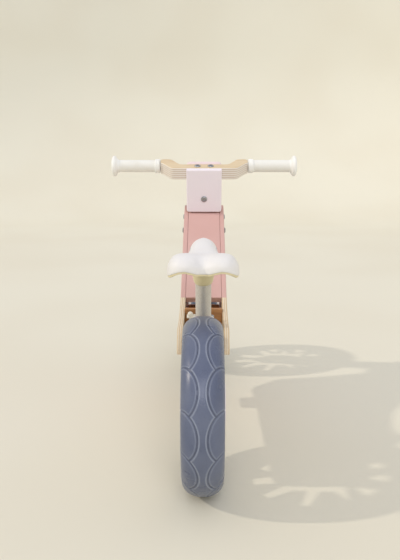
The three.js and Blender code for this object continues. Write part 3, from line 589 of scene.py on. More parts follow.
def smooth_loop(loop, corner, step):
    """Rounds the sharp corners of an outline and makes its many-sided stretches curves."""
    nodes = []
    for i, point in enumerate(loop):
        turn, before, after = turn_at(loop, i)
        if abs(turn) > SHARP_TURN:
            reach = min(corner, 0.4 * before.length, 0.4 * after.length)
            a = point - before.normalized() * reach
            b = point + after.normalized() * reach
            nodes.append((a, before.normalized(), False))
            nodes += [(bent, None, False) for bent in bend(a, point, b, (0.33, 0.67))]
            nodes.append((b, after.normalized(), True))
            continue
        if before.length > LONG_RATIO * after.length:
            tangent = before.normalized()
        elif after.length > LONG_RATIO * before.length:
            tangent = after.normalized()
        else:
            tangent = (before / before.length**2 + after / after.length**2).normalized()
        nodes.append((point, tangent, True))
    dense = []
    for (a, ta, leaves), (b, tb, _) in zip(nodes, nodes[1:] + nodes[:1]):
        dense.append(a)
        chord = b - a
        if not leaves or tb is None or chord.length < step:
            continue
        bent = max(abs(ta.angle(chord, 0)), abs(tb.angle(chord, 0))) > math.radians(0.5)
        count = min(8, math.ceil(chord.length / step)) if bent else 1
        for k in range(1, count):
            t = k / count
            h = 2 * t**3 - 3 * t**2 + 1, t**3 - 2 * t**2 + t, 3 * t**2 - 2 * t**3, t**3 - t**2
            size = chord.length
            dense.append(a * h[0] + ta * size * h[1] + b * h[2] + tb * size * h[3])
    return dense


def inset(loop, distance):
    """The outline moved to its left by a distance."""
    moved = []
    for i, point in enumerate(loop):
        turn, before, after = turn_at(loop, i)
        side = before.normalized() + after.normalized()
        left = Vector((-side.y, side.x)).normalized()
        moved.append(point + left * distance / max(0.5, math.cos(turn / 2)))
    return moved


def prism(loops, low, high, radius):
    """Points and faces of a prism over outlines, its rims rounded by a radius."""
    upper = round_steps(high, radius)
    lower = [(gap, low + high - z) for gap, z in reversed(upper)]
    points, faces, caps = [], [], ([], [])
    for loop in loops:
        rings = []
        for gap, z in upper + lower:
            rings.append(range(len(points), len(points) + len(loop)))
            points += [(p.x, p.y, z) for p in inset(loop, gap)]
        faces += bridged(rings)
        caps[0].append(list(rings[0]))
        caps[1].append(list(rings[-1]))
    for cap in caps:
        flat = [index for ring in cap for index in ring]
        outlines = [[Vector(points[index]) for index in ring] for ring in cap]
        for triangle in tessellate_polygon(outlines):
            faces.append(tuple(flat[index] for index in triangle))
    return points, faces


def panel(node, to_row, material, radius=1.2 * MM, corner=1.5 * MM, level=0.12, step=2.5 * MM):
    """A flat piece rebuilt from its CAD outline, with rounded rims and smooth curves."""
    low, high, _ = extent(node, to_row)
    outlines = cut_loops(node, to_row, low + (high - low) * level)
    loops = [smooth_loop(loop, corner, step) for loop in outlines]
    return build(node, prism(loops, low, high, radius), to_row, material, weighted=True)


def softened(node, material, radius=1.2 * MM):
    """A CAD shape with its edges rounded."""
    work = bmesh.new()
    work.from_mesh(frame["nodes"][node].data)
    bmesh.ops.remove_doubles(work, verts=work.verts[:], dist=SAME_POINT)
    bmesh.ops.dissolve_limit(
        work, angle_limit=math.radians(1), verts=work.verts[:], edges=work.edges[:]
    )
    mesh = bpy.data.meshes.new(f"{node}.shape")
    work.to_mesh(mesh)
    work.free()
    made = add_object(f"{node}.fine", mesh, material, sharp=30)
    rounding = made.modifiers.new("rounded_edges", "BEVEL")
    rounding.width = radius
    rounding.segments = 3
    rounding.limit_method = "ANGLE"
    rounding.angle_limit = math.radians(30)
    weigh_normals(made)
    return stand_for(made, node)


def rounded_profile(profile, radius, closed):
    """A profile of (along, radius) points with its corners rounded."""
    points = [Vector(p) for p in profile]
    rounded = []
    for i, point in enumerate(points):
        is_end = not closed and i in (0, len(points) - 1)
        if is_end:
            rounded.append(point)
            continue
        before = point - points[i - 1]
        after = points[(i + 1) % len(points)] - point
        reach = min(radius, 0.45 * before.length, 0.45 * after.length)
        a = point - before.normalized() * reach
        b = point + after.normalized() * reach
        rounded += bend(a, point, b, (0, 0.25, 0.5, 0.75, 1))
    return rounded


def lathe(profile, sides=96, closed=False):
    """Points and faces of a shape turned round local Z from (along, radius) points."""
    points, rings = [], []
    for along, radius in profile:
        if radius < 1e-6:
            rings.append([len(points)] * sides)
            points.append((0, 0, along))
            continue
        rings.append(range(len(points), len(points) + sides))
        points += [round_point(radius, 2 * math.pi * k / sides, along) for k in range(sides)]
    quads = bridged([*rings, rings[0]] if closed else rings)
    corners = [tuple(dict.fromkeys(quad)) for quad in quads]
    return points, [face for face in corners if len(face) > 2]


def turned(node, to_row, profile, material, radius=0.4 * MM, sides=96, closed=False):
    """A turned piece: profile points are (along the local Z axis, radius)."""
    shape = lathe(rounded_profile(profile, radius, closed), sides, closed)
    return build(node, shape, to_row, material, weighted=True)


def tube_profile(node, to_row, inner):
    """(along, radius) corners of a plain tube as long and as wide as its CAD node."""
    low, high, outer = extent(node, to_row)
    return [(low, inner), (low, outer), (high, outer), (high, inner)]


# ---- Screws ----

RECESS_SIDES = 48


def hexagon(turn):
    """Radius of a hexagon at an angle, its corners at 1."""
    within = turn % (math.pi / 3) - math.pi / 6
    return math.cos(math.pi / 6) / math.cos(within)


def recessed(rings):
    """Points and faces from (height, radius, how far a hexagon) rings, closed at both ends."""
    points, made = [], []
    for height, radius, share in rings:
        made.append(range(len(points), len(points) + RECESS_SIDES))
        for k in range(RECESS_SIDES):
            turn = 2 * math.pi * k / RECESS_SIDES
            reach = radius * (1 - share + share * hexagon(turn))
            points.append(round_point(reach, turn, height))
    return points, [*bridged(made), tuple(made[0]), tuple(made[-1])]


# Heads as (height above the seat as a share of the head's, radius as a share, how far a hexagon).
BUTTON_HEAD = (
    (0, 0.97, 0), (0.12, 1, 0), (0.4, 0.97, 0), (0.72, 0.84, 0), (0.93, 0.66, 0), (1, 0.54, 0),
    (1, 0.5, 1), (0.85, 0.47, 1), (0.15, 0.46, 1), (0, 0.2, 0),
)
FLUSH_HEAD = (
    (0, 0.45, 0), (0.9, 0.97, 0), (1, 0.95, 0), (1, 0.5, 0), (1, 0.44, 1), (0, 0.42, 1),
    (-0.1, 0.2, 0),
)
TIP_LENGTH = 1.5 * MM


def screw(node, outward, head, head_height, tip_share, shank_share):
    """A screw with a hexagon socket, where the CAD screw sits."""
    across = (1, 0, 0) if abs(outward.x) < 0.5 else (0, 1, 0)
    to_row = frame_matrix(middle(node), across, outward)
    bottom, top, radius = extent(node, to_row)
    seat = top - head_height
    shank = radius * shank_share
    rings = [(bottom, radius * tip_share, 0), (bottom + TIP_LENGTH, shank, 0), (seat, shank, 0)]
    rings += [(seat + rise * head_height, radius * share, hexed) for rise, share, hexed in head]
    return build(node, recessed(rings), to_row, DARK_STEEL)


def button_screw(node, outward, head_height=2.2 * MM, shank_share=0.45):
    return screw(node, outward, BUTTON_HEAD, head_height, shank_share / 2, shank_share)


def axle_nut(node, sign):
    """A flanged hexagon nut, hollow round the axle."""
    to_row = axle_frame(FRONT_AXLE, sign)
    low, high, radius = extent(node, to_row)
    rings = [
        (low, radius * 0.5, 0),
        (low, radius, 0),
        (low + 1.4 * MM, radius, 0),
        (low + 1.9 * MM, radius * 0.95, 0.5),
        (low + 2.2 * MM, radius * 0.94, 1),
        (high - 1.2 * MM, radius * 0.94, 1),
        (high, radius * 0.78, 0.3),
        (high, radius * 0.5, 0),
    ]
    return build(node, recessed(rings), to_row, DARK_STEEL)


# ---- Tyres ----

TYRE_RADIUS = 128.0
TYRE_BORE = 98.1
BORE_HALF_WIDTH = 24
TREAD_REPEATS = 13
TREAD_STEPS = 46
OVAL_MIDDLE = 36.0
OVAL_REACH = 29.4
OVAL_HALF_LENGTH = 38.7
SIDE_LINE_LENGTH = 16
SIDE_LINE_BEND = 0.012
LINE_HALF_WIDTH = 1.3
LINE_DEPTH = 1.1
LIP_WIDTH = 2.2
LIP_HEIGHT = 0.5
TREAD_END = 52
TREAD_FADE = 6
TYRE_SECTION = (
    (0, TYRE_RADIUS), (3.5, 127.95), (7, 127.7), (12, 126.6), (17, 124.8), (21.5, 122.0),
    (25.2, 118.4), (27.8, 114.2), (29, 109.6), (28.8, 105.4), (27, 101.6), (24, 98.6),
)


def section_spline(points, spacing):
    """An even curve through the section's points, and how far along each of its points lies."""
    mirrored = (-points[1][0], points[1][1])
    ends = [mirrored, *points, points[-1]]
    spans = [catmull_rom(*four, 24) for four in zip(ends, ends[1:], ends[2:], ends[3:])]
    curve = np.concatenate([*spans, [points[-1]]])
    length = lengths_along(curve)[-1]
    even = np.linspace(0, length, round(length / spacing) + 1)
    return points_at(curve, even), even


def tread_distance(around, across, pitch):
    """Distance in mm to the nearest tread line, and whether the point lies in an oval."""
    near = np.full(around.shape, np.inf)
    inside = np.zeros(around.shape, bool)
    for shift in (-pitch, 0.0, pitch):
        s = np.linspace(-OVAL_HALF_LENGTH, pitch / 2, 160)
        u = OVAL_MIDDLE - OVAL_REACH * np.sqrt(np.clip(1 - (s / OVAL_HALF_LENGTH) ** 2, 0, 1))
        side = np.linspace(OVAL_MIDDLE, OVAL_MIDDLE + SIDE_LINE_LENGTH, 30)
        side_s = -OVAL_HALF_LENGTH + SIDE_LINE_BEND * (side - OVAL_MIDDLE) ** 2
        line = np.stack([np.concatenate([s, side_s]) + shift, np.concatenate([u, side])], 1)
        for line_s, line_u in line:
            near = np.minimum(near, (around - line_s) ** 2 + (across - line_u) ** 2)
        s = (around - shift) / OVAL_HALF_LENGTH
        u = (across - OVAL_MIDDLE) / OVAL_REACH
        inside |= s**2 + np.minimum(u, 0) ** 2 < 1
    return np.sqrt(near), inside


def tread_relief(around, across, pitch):
    """(height in mm, line strength, lip strength) of the tread at a point of the surface."""
    distance, inside = tread_distance(around, across, pitch)
    line = np.where(
        distance < LINE_HALF_WIDTH, np.cos(np.pi / 2 * distance / LINE_HALF_WIDTH) ** 2, 0
    )
    beyond = distance - LINE_HALF_WIDTH
    lip = np.where((beyond > 0) & (beyond < LIP_WIDTH), np.sin(np.pi * beyond / LIP_WIDTH), 0)
    lip = np.where(inside, 0.5 * lip, lip)
    fade = np.clip((TREAD_END - across) / TREAD_FADE, 0, 1)
    return (LIP_HEIGHT * lip - LINE_DEPTH * line) * fade, line * fade, lip * fade


def tyre(node, centre, material):
    """Foam tyre whose two shoulders carry a chain of overlapping ovals."""
    half, arc = section_spline(TYRE_SECTION, 1.0)
    section = np.concatenate([half[:0:-1] * (-1, 1), half])
    across = np.concatenate([arc[:0:-1], arc])
    slope = np.gradient(section, axis=0)
    outward = np.stack([-slope[:, 1], slope[:, 0]], 1)
    outward /= np.hypot(*outward.T)[:, None]
    pitch = 2 * math.pi * TYRE_RADIUS / TREAD_REPEATS
    steps = (np.arange(TREAD_STEPS) / TREAD_STEPS - 0.5) * pitch
    grid = np.meshgrid(steps, across, indexing="ij")
    height, line, lip = tread_relief(*grid, pitch)
    columns = TREAD_STEPS * TREAD_REPEATS
    bore = [(x, TYRE_BORE) for x in np.linspace(BORE_HALF_WIDTH, -BORE_HALF_WIDTH, 7)[1:-1]]
    points, line_values, lip_values = [], [], []
    for column in range(columns):
        k = column % TREAD_STEPS
        turn = 2 * math.pi * (column + 0.5) / columns
        shape = section + outward * height[k][:, None]
        points += [round_point(radius, turn, x) for x, radius in [*shape, *bore]]
        line_values += [*line[k], *[0.0] * len(bore)]
        lip_values += [*lip[k], *[0.0] * len(bore)]
    size = len(section) + len(bore)
    rings = [range(start, start + size) for start in range(0, columns * size, size)]
    faces = bridged([*rings, rings[0]])
    points = [tuple(value * MM for value in point) for point in points]
    made = build(node, (points, faces), axle_frame(centre), material, sharp=60)
    set_values(made, TREAD_LINE, line_values)
    set_values(made, TREAD_LIP, lip_values)


# ---- Rims ----

RIM_SIDES = 200
WEB_HALF_DEPTH = 7.0
WEB_ROUNDING = 1.6 * MM
HUB_HALF = (
    (WEB_HALF_DEPTH, 33), (7.6, 30), (10, 26.5), (16, 22), (23, 19), (28.4, 18), (29.2, 17.4),
    (29.2, 11.6), (28.8, 11.1), (22.3, 11.1), (22.3, 9),
)
TYRE_SEAT_HALF = (
    (WEB_HALF_DEPTH, 85), (7.7, 86.6), (10, 88), (20.6, 89.4), (21.7, 90), (22, 91), (22, 97),
    (21.3, 97.7),
)
WINDOW_INNERMOST = 40 * MM
WINDOW_MOST_POINTS = 40


def circle(radius, sign):
    turns = [sign * 2 * math.pi * k / RIM_SIDES for k in range(RIM_SIDES)]
    return [Vector((radius * math.cos(t), radius * math.sin(t))) for t in turns]


def rim_windows(node, to_row):
    """The outlines of the web's openings."""
    inner = cut_loops(node, to_row, 0.5 * MM)[1:]
    small = [loop for loop in inner if len(loop) < WINDOW_MOST_POINTS]
    smooth = [smooth_loop(loop, 4 * MM, 1.5 * MM) for loop in small]
    return [loop for loop in smooth if loop[0].length > WINDOW_INNERMOST]


def rim(node, centre, material):
    """A moulded wheel: hub, webbed disc with ten openings, and the seat for the tyre."""
    to_row = axle_frame(centre)
    depth = WEB_HALF_DEPTH * MM
    windows = rim_windows(node, to_row)
    points, faces = prism(windows, -depth, depth, WEB_ROUNDING)
    shapes = [(points, [face for face in faces if len(face) == 4])]
    for half in (HUB_HALF, TYRE_SEAT_HALF):
        half = [(x * MM, r * MM) for x, r in half]
        shapes.append(lathe(half + [(-x, r) for x, r in reversed(half)], RIM_SIDES))
    flat = [circle(TYRE_SEAT_HALF[0][1] * MM, 1), circle(HUB_HALF[0][1] * MM, -1)]
    flat += [inset(window, WEB_ROUNDING) for window in windows]
    for side in (depth, -depth):
        loops = [[Vector((p.x, p.y, side)) for p in loop] for loop in flat]
        shapes.append(([p for loop in loops for p in loop], tessellate_polygon(loops)))
    build(node, joined(*shapes), to_row, material, weighted=True, merged=True)


# ---- Saddle ----

SADDLE_OUTLINE = (
    (0, -5.5), (10, -12), (24, -16), (38, -13.5), (47.5, -3.5), (51.5, 13), (50, 33), (43.5, 54),
    (33, 75), (25.2, 97), (22.2, 121), (21.3, 146), (19, 164), (14, 178), (7.5, 185), (0, 187),
)
SADDLE_MIDDLE_Y = 62.0
SADDLE_CREST = (
    (-16, 344), (5, 346.3), (20, 347), (32, 345.6), (45, 342.8), (60, 340.4), (78, 339.8),
    (95, 342.8), (122, 349.3), (150, 353), (170, 352.6), (187, 350.5),
)
SADDLE_WALL = ((-16, 6.5), (60, 7.5), (100, 9.5), (187, 10))
SADDLE_ROLL = ((-16, 27), (40, 27), (90, 25), (150, 21.8), (187, 21))
SADDLE_FULLNESS = ((-16, 2.7), (50, 2.6), (90, 2.2), (187, 2.3))
SADDLE_RIM_REAR = (
    (0, 317.2), (8, 317.9), (16, 320.3), (25, 322.6), (34, 321.8), (43, 318.4), (48.5, 315),
    (52, 313.5),
)
SADDLE_RIM_SIDE = ((-20, 0), (25, 0), (60, 1), (190, 1))
SADDLE_RIM_FRONT = ((0, 318), (60, 319), (100, 322), (187, 325))
SADDLE_RECESS = 329.0
RECESS_INSET = 9.0
VALLEY_DEPTH = 3.0
VALLEY_WIDTH = 13
VALLEY_END = 20
VALLEY_FADE = 75
SADDLE_SIDES = 224
COVER_LIP = ((0.2, 0), (0.4, 0.1), (0.54, 0.4), (0.58, 1.1))
BASE_PLATE = ((0.6, 1.2), (0.92, 1.3), (1.0, 2.4), (0.97, 4.2), (0.8, 5.4), (0.6, 7.0))


def along_points(points, at):
    xs, ys = zip(*points)
    return np.interp(at, xs, ys)


def closed_spline(points, count):
    """An even closed Catmull-Rom curve through points, as an array."""
    around = [points[i % len(points)] for i in range(-1, len(points) + 2)]
    spans = [catmull_rom(*four, 40) for four in zip(around, around[1:], around[2:], around[3:])]
    curve = np.concatenate([*spans, spans[0][:1]])
    even = np.linspace(0, lengths_along(curve)[-1], count, endpoint=False)
    return points_at(curve, even)


def saddle_rim(x, y):
    rear = along_points(SADDLE_RIM_REAR, abs(x))
    front = along_points(SADDLE_RIM_FRONT, y)
    share = along_points(SADDLE_RIM_SIDE, y)
    return rear * (1 - share) + front * share


def saddle_top(x, y, edge_distance):
    """Height of the padded-looking top: two rear lobes with a valley between, and a round nose."""
    crest = along_points(SADDLE_CREST, y)
    shoulder = saddle_rim(x, y) + along_points(SADDLE_WALL, y)
    roll = along_points(SADDLE_ROLL, y)
    rear = 1 - np.clip((y - VALLEY_END) / VALLEY_FADE, 0, 1)
    valley = VALLEY_DEPTH * math.exp(-((x / VALLEY_WIDTH) ** 2)) * rear**2 * (3 - 2 * rear)
    share = 1 - min(1.0, edge_distance / roll)
    fullness = along_points(SADDLE_FULLNESS, y)
    return shoulder + (crest - shoulder - valley) * math.sqrt(max(0.0, 1 - share**fullness))


def saddle_rings():
    """Rings of points from the top's middle out to the rim, down it and in under the base.

    Returns them with the number of rings that belong to the cover.
    """
    outline = [*SADDLE_OUTLINE, *[(-x, y) for x, y in SADDLE_OUTLINE[-2:0:-1]]]
    edge = closed_spline(outline, SADDLE_SIDES)
    tangent = np.roll(edge, -1, axis=0) - np.roll(edge, 1, axis=0)
    normal = np.stack([tangent[:, 1], -tangent[:, 0]], 1)
    normal /= np.hypot(*normal.T)[:, None]
    centre = np.array([0, SADDLE_MIDDLE_Y])
    rings = []
    for share in 1 - (1 - np.linspace(0.04, 1, 34)) ** 1.7:
        ring = []
        for point in centre + (edge - centre) * share:
            distance = math.sqrt(((edge - point) ** 2).sum(1).min())
            ring.append((*point, saddle_top(*point, distance if share < 1 else 0.0)))
        rings.append(ring)
    cover_rings = len(rings) + len(COVER_LIP)
    for drop, pull in COVER_LIP + BASE_PLATE:
        ring = []
        for point, out in zip(edge, normal):
            height = saddle_rim(*point) + along_points(SADDLE_WALL, point[1]) * (1 - drop)
            ring.append((*(point - out * pull), height))
        rings.append(ring)
    for share in (0.8, 0.5, 0.2):
        inner = centre + (edge - normal * RECESS_INSET - centre) * share
        rings.append([(x, y, SADDLE_RECESS) for x, y in inner])
    return rings, cover_rings


def saddle(node, cover, base):
    """A moulded saddle: a cover over a base plate with a wavy rim and a recessed underside."""
    rings, cover_rings = saddle_rings()
    count = len(rings[0])
    points = [(0, SADDLE_MIDDLE_Y, saddle_top(0, SADDLE_MIDDLE_Y, math.inf))]
    points += [point for ring in rings for point in ring]
    points.append((0, SADDLE_MIDDLE_Y, SADDLE_RECESS))
    numbers = [range(start, start + count) for start in range(1, len(points) - 1, count)]
    faces = bridged(numbers)
    for k in range(count):
        after = (k + 1) % count
        faces.append((0, numbers[0][after], numbers[0][k]))
        faces.append((len(points) - 1, numbers[-1][k], numbers[-1][after]))
    to_row = Matrix.Translation((0, REAR_AXLE.y, 0)) @ Matrix.Scale(MM, 4)
    made = build(node, (points, faces), to_row, cover, sharp=60)
    made.data.materials.append(base)
    for face in made.data.polygons:
        face.material_index = int(max(face.vertices) > cover_rings * count)


# ---- Grips ----

RING_PITCH = 2.1
RING_DEPTH = 0.32
RING_STEPS = 6
BODY_RADIUS = 12.5
BODY_SWELL = 0.35
GRIP_BORE = 8.3
COLLAR_RADIUS = 14.6
COLLAR = (
    (0, -1), (0.9, 0), (2.4, 0), (2.9, -0.6), (3.4, 0), (6.4, 0), (6.9, -0.6), (7.4, 0), (9.2, 0),
    (10.2, -0.5), (10.9, -1.9),
)
COLLAR_END = 11.4
FLANGE_RADIUS = 21.4
FLANGE_LENGTH = 16.0
FLANGE = (
    (-15.4, 0.6), (-13.4, 0.63), (-11.9, 0.7), (-10.6, 0.83), (-9.2, 0.93), (-7.4, 0.985),
    (-5.6, 1), (-3.9, 0.98), (-2.3, 0.91), (-1.1, 0.8), (-0.3, 0.64), (0, 0.45), (0, 0),
)
GRIP_SIDES = 96


def grip(side, sign, material):
    """A ribbed rubber grip with a collar at its inner end and a round end flange."""
    node = f"grip_{side}"
    tube = middle(f"grip_tube_{side}")
    to_row = axle_frame((0, tube.y, tube.z), sign)
    start, end = (depth / MM for depth in extent(node, to_row)[:2])
    profile = [(start, GRIP_BORE, 0.0)]
    profile += [(start + x, COLLAR_RADIUS + rise, 0.0) for x, rise in COLLAR]
    x = start + COLLAR_END
    while x < end - FLANGE_LENGTH:
        dip = 0.5 - 0.5 * math.cos((x - start) / RING_PITCH * 2 * math.pi)
        swell = BODY_SWELL * (x - start) / (end - start)
        profile.append((x, BODY_RADIUS + swell - RING_DEPTH * dip, dip))
        x += RING_PITCH / RING_STEPS
    profile += [(end + x, FLANGE_RADIUS * share, 0.0) for x, share in FLANGE]
    shape = lathe([(x * MM, r * MM) for x, r, _ in profile], GRIP_SIDES)
    made = build(node, shape, to_row, material, sharp=50)
    dips = [dip for _, r, dip in profile for _ in range(GRIP_SIDES if r > 0 else 1)]
    set_values(made, TREAD_LINE, dips)


# ---- The bike, piece by piece ----

SLOT_NODES = {
    "plywood": ("side_plate_left", "side_plate_right", "handlebar"),
    "pink_board": ("top_board", "stem_front_plate"),
    "pale_pink": ("stem_rear_cheek", "fork_crown", "fork_blade_left", "fork_blade_right"),
    "dropout_paint": ("dropout_left", "dropout_right"),
    "brown_wood": (
        "seat_crossboard", "front_crossboard", "belly_block", "head_block", "stem_core",
    ),
    "foam_tyre": ("rear_tyre", "front_tyre"),
    "rim_plastic": ("rear_rim", "front_rim"),
    "saddle_plastic": ("saddle",),
    "grip_rubber": ("grip_left", "grip_right"),
    "white_nylon": (
        "seat_collar", "collar_nut", "saddle_socket", "headset_bush_lower", "headset_bush_upper",
    ),
    "satin_steel": (
        "seat_post", "seat_tube", "rear_axle", "front_axle", "steerer",
        "grip_tube_left", "grip_tube_right",
        *(f"rear_bearing_{part}" for part in ("sleeve", "left", "right")),
        *(f"front_bearing_{part}" for part in ("sleeve", "left", "right")),
    ),
}
SLOT_OF_NODE = {node: "dark_steel" for node in frame["nodes"]}
SLOT_OF_NODE |= {node: slot for slot, nodes in SLOT_NODES.items() for node in nodes}

SIDES = (("left", -1), ("right", 1))
BOARD_THICKNESS = 12 * MM
BOARD_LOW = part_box("top_board")[0]
BOARD_SLOPE = math.radians(32.2)
PAINT_START = Vector((0, BOARD_LOW.y, BOARD_LOW.z + BOARD_THICKNESS * math.cos(BOARD_SLOPE)))
PAINT_NORMAL = Vector((0, math.cos(BOARD_SLOPE), math.sin(BOARD_SLOPE)))

BRUSHED_ROUND = (900.0, 900.0, 12.0)
PLATE_WOOD = side_plywood(PAINT_START, PAINT_NORMAL)
BAR_WOOD = steering_plywood()
BOARD_PAINT = painted("board_paint", PINK, PINK_WORN, 0.4, (BOARD_SLOPE, 0, 0))
STEM_PAINT = painted("stem_paint", PALE_PINK, linear("f6eef2"), 0.38, (STEER_LEAN, 0, 0), 1)
STEM_PINK = painted("stem_pink", linear("eed9dc"), linear("f2e4e4"), 0.4, (STEER_LEAN, 0, 0), 1)
FORK_PAINT = painted("fork_paint", PALE_PINK, linear("f6eef2"), 0.38, edge_axis=0)
DROPOUT_COAT = powder_coat("dropout_coat", PALE_PINK)
BROWN_WOOD = beech()
FOAM = tyre_foam()
RIM_PLASTIC = moulded_plastic("rim_plastic", linear("f0ede6"), linear("d9d3c4"), 0.42, 1400.0)
SADDLE_PLASTIC = moulded_plastic(
    "saddle_plastic", linear("eae9ea"), linear("ded7c2"), 0.5, 900.0
)
NYLON = moulded_plastic("nylon", linear("efede6"), linear("cfc69c"), 0.5, 1100.0)
SOCKET_NYLON = moulded_plastic("socket_nylon", linear("e6dbb6"), linear("c6bb92"), 0.5, 1100.0)
RUBBER = grip_rubber()
POST_STEEL = steel("post_steel", linear("dddbd8"), 0.55, BRUSHED_ROUND, linear("c6bfb5"), 0.55)
BRIGHT_STEEL = steel("bright_steel", linear("c6c4be"), 0.3, (60.0, 700.0, 700.0), linear("a5a29b"))
DARK_STEEL = steel("dark_steel", linear("b2b5b9"), 0.3, (900.0, 900.0, 900.0), linear("84888d"))


def plain_tube(node, to_row, inner, material=BRIGHT_STEEL):
    turned(node, to_row, tube_profile(node, to_row, inner), material, closed=True)


def frame_pieces():
    for side, sign in SIDES:
        outward = Vector((sign, 0, 0))
        panel(f"side_plate_{side}", ALONG_X, PLATE_WOOD, radius=1.6 * MM, corner=3 * MM, level=0.5)
        panel(f"dropout_{side}", ALONG_X, DROPOUT_COAT, radius=0.5 * MM, level=0.5)
        for name in ("head_screw", "board_screw", "crossboard_screw", "belly_screw"):
            button_screw(f"{name}_{side}", outward)
        screw(f"rear_axle_screw_{side}", outward, FLUSH_HEAD, 2 * MM, 0.15, 0.3)
    softened("top_board", BOARD_PAINT, 1.2 * MM)
    for node in ("seat_crossboard", "front_crossboard", "belly_block", "head_block"):
        softened(node, BROWN_WOOD, 1.5 * MM)
    plain_tube("rear_axle", axle_frame(REAR_AXLE), 2.7 * MM)


SOCKET = (
    (4, 12.8), (4, 13), (4.9, 14.2), (7, 15.2), (12, 16.2), (20, 17.2), (27, 18.4), (33, 20),
    (38, 21.2), (45, 21.6), (45, 12.8),
)


def seat_pieces():
    post = tube_profile("seat_post", SEAT, 0)
    turned("seat_post", SEAT, post, POST_STEEL, radius=1 * MM)
    softened("seat_tube", BRIGHT_STEEL, 0.8 * MM)
    panel("seat_collar", SEAT, NYLON, radius=1.2 * MM, corner=2 * MM, level=0.2)
    start = extent("saddle_socket", SEAT)[0]
    profile = [(start + x * MM, r * MM) for x, r in SOCKET]
    turned("saddle_socket", SEAT, profile, SOCKET_NYLON, radius=1 * MM, closed=True)
    saddle("saddle", SADDLE_PLASTIC, SOCKET_NYLON)
    thumb_nut("collar_nut", NYLON)
    button_screw("collar_bolt", Vector((1, 0, 0)), 5 * MM, 0.5)


KNOB_RADIUS = 4.4 * MM
KNOB_FROM_LEFT = 5.8 * MM
FOOT_HEIGHT = 9 * MM


def thumb_nut(node, material):
    """An upright round knob on a rounded foot, moulded as one piece."""
    at = local_points(node, SEAT)
    (left, rear, low), (right, front, top) = at.min(0), at.max(0)
    shelf = low + FOOT_HEIGHT
    corners = ((left, rear), (right, rear), (right, front), (left, front))
    outline = smooth_loop([Vector(corner) for corner in corners], 2.5 * MM, MM)
    block = clean_loop([Vector((max(point.x, left + 4 * MM), point.y)) for point in outline])
    profile = [(shelf - MM, 0), (shelf - MM, KNOB_RADIUS), ((shelf + top) / 2, KNOB_RADIUS)]
    for turn in np.linspace(0.15, math.pi / 2, 8)[:-1]:
        along = shelf + (0.5 + 0.5 * math.sin(turn)) * (top - shelf)
        profile.append((along, KNOB_RADIUS * math.cos(turn) ** 0.8))
    knob, knob_faces = lathe([*profile, (top, 0)], 48)
    x, y = left + KNOB_FROM_LEFT, (rear + front) / 2
    shape = joined(
        prism([outline], shelf - 3 * MM, shelf, 0.9 * MM),
        prism([block], low, shelf - 2.5 * MM, 0.4 * MM),
        ([(x + px, y + py, pz) for px, py, pz in knob], knob_faces),
    )
    build(node, shape, SEAT, material, sharp=50)


BEARING_BORE = 4.2 * MM


def wheel_pieces(prefix, centre):
    tyre(f"{prefix}_tyre", centre, FOAM)
    rim(f"{prefix}_rim", centre, RIM_PLASTIC)
    plain_tube(f"{prefix}_bearing_sleeve", axle_frame(centre), BEARING_BORE)
    for side, sign in SIDES:
        node = f"{prefix}_bearing_{side}"
        outward = axle_frame(centre, sign)
        low, high, outer = extent(node, outward)
        shield = high - 0.7 * MM
        profile = [(low, BEARING_BORE), (low, outer), (high, outer), (high, outer - 1.6 * MM)]
        profile += [(shield, outer - 1.9 * MM), (shield, 6.3 * MM), (high, 6.0 * MM)]
        profile += [(high, BEARING_BORE)]
        turned(node, outward, profile, BRIGHT_STEEL, radius=0.25 * MM, closed=True)


BUSH_BORE = 8.3
LOWER_BUSH = (
    (-85.7, BUSH_BORE), (-85.7, 20), (-80.3, 20), (-80.3, 14), (-54, 14), (-54, BUSH_BORE),
)


def steering_pieces():
    plain_tube("headset_bush_upper", STEERING, BUSH_BORE * MM, NYLON)
    plain_tube("steerer", STEERING, 5.5 * MM)
    bush = [(along * MM, radius * MM) for along, radius in LOWER_BUSH]
    turned("headset_bush_lower", STEERING, bush, NYLON, closed=True)
    softened("fork_crown", FORK_PAINT, 2 * MM)
    softened("stem_core", BROWN_WOOD, 1 * MM)
    panel("stem_rear_cheek", STEERING_FORWARD, STEM_PAINT, 2 * MM, 2.5 * MM, level=0.5)
    panel("stem_front_plate", STEERING_FORWARD, STEM_PINK, 2.4 * MM, 2 * MM, level=0.5)
    panel("handlebar", STEERING, BAR_WOOD, 2.4 * MM, 3 * MM, level=0.08)
    forward = STEERING.to_3x3() @ Vector((0, 1, 0))
    button_screw("stem_rear_screw", -forward)
    button_screw("stem_front_screw", forward)
    axle = axle_frame(FRONT_AXLE)
    turned("front_axle", axle, tube_profile("front_axle", axle, 0), BRIGHT_STEEL, radius=0.8 * MM)
    for side, sign in SIDES:
        panel(f"fork_blade_{side}", STEERING_SIDEWAYS, FORK_PAINT, radius=2.4 * MM, level=0.5)
        button_screw(f"crown_screw_{side}", Vector((sign, 0, 0)))
        button_screw(f"handlebar_screw_{side}", STEER_AXIS)
        grip(side, sign, RUBBER)
        tube = f"grip_tube_{side}"
        plain_tube(tube, axle_frame((0, middle(tube).y, middle(tube).z)), 6.5 * MM)
        axle_nut(f"front_axle_nut_{side}", sign)


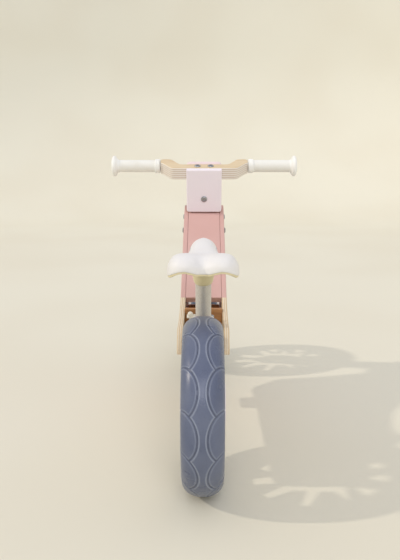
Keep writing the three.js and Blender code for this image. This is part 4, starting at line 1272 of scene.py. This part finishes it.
frame_pieces()
seat_pieces()
wheel_pieces("rear", REAR_AXLE)
wheel_pieces("front", FRONT_AXLE)
steering_pieces()


# ---- Studio ----


def studio_floor():
    """A pale floor that curves up into a low wall all round."""
    flat, sweep, top = 4.0, 1.6, 2.6
    turns = np.linspace(0, math.pi / 2, 15)
    profile = [(0, 0), (0, flat / 2)]
    profile += [(sweep * (1 - math.cos(a)), flat + sweep * math.sin(a)) for a in turns]
    profile += [(top, flat + sweep)]
    points, faces = lathe(profile, 128)
    mesh = to_mesh("floor.shape", points, faces)
    made = add_object("studio_floor", mesh, studio_paper(), sharp=60)
    made.visible_shadow = False


def sun_lamp(name, strength, degrees_wide, color, toward):
    light = bpy.data.lights.new(name, "SUN")
    light.energy = strength
    light.angle = math.radians(degrees_wide)
    light.color = linear(color)
    lamp = bpy.data.objects.new(name, light)
    lamp.rotation_euler = Vector(toward).to_track_quat("-Z", "Y").to_euler()
    bpy.context.scene.collection.objects.link(lamp)


def studio_light():
    world = bpy.data.worlds.new("studio")
    bpy.context.scene.world = world
    world.use_nodes = True
    background = world.node_tree.nodes["Background"]
    background.inputs["Color"].default_value = (*linear("fdfcff"), 1)
    background.inputs["Strength"].default_value = 0.74
    sun_lamp("key", strength=1.0, degrees_wide=2, color="fff4e4", toward=(1.42, 0.24, -1.0))
    sun_lamp("fill", strength=0.8, degrees_wide=30, color="f2f4ff", toward=(-0.12, 0.85, -0.6))
    bpy.context.scene.view_settings.view_transform = "Standard"


CAMERA_PLACE = (0.0035, -1.1931, 0.4717)
CAMERA_DEGREES_DOWN = 10.184
CAMERA_DEGREES_LEFT = 0.506


def camera():
    data = bpy.data.cameras.new("camera")
    data.sensor_width = 36
    data.lens = 41.4
    made = bpy.data.objects.new("camera", data)
    made.location = CAMERA_PLACE
    tilt = math.radians(90 - CAMERA_DEGREES_DOWN)
    made.rotation_euler = (tilt, 0, math.radians(CAMERA_DEGREES_LEFT))
    bpy.context.scene.collection.objects.link(made)
    bpy.context.scene.camera = made


studio_floor()
studio_light()
camera()
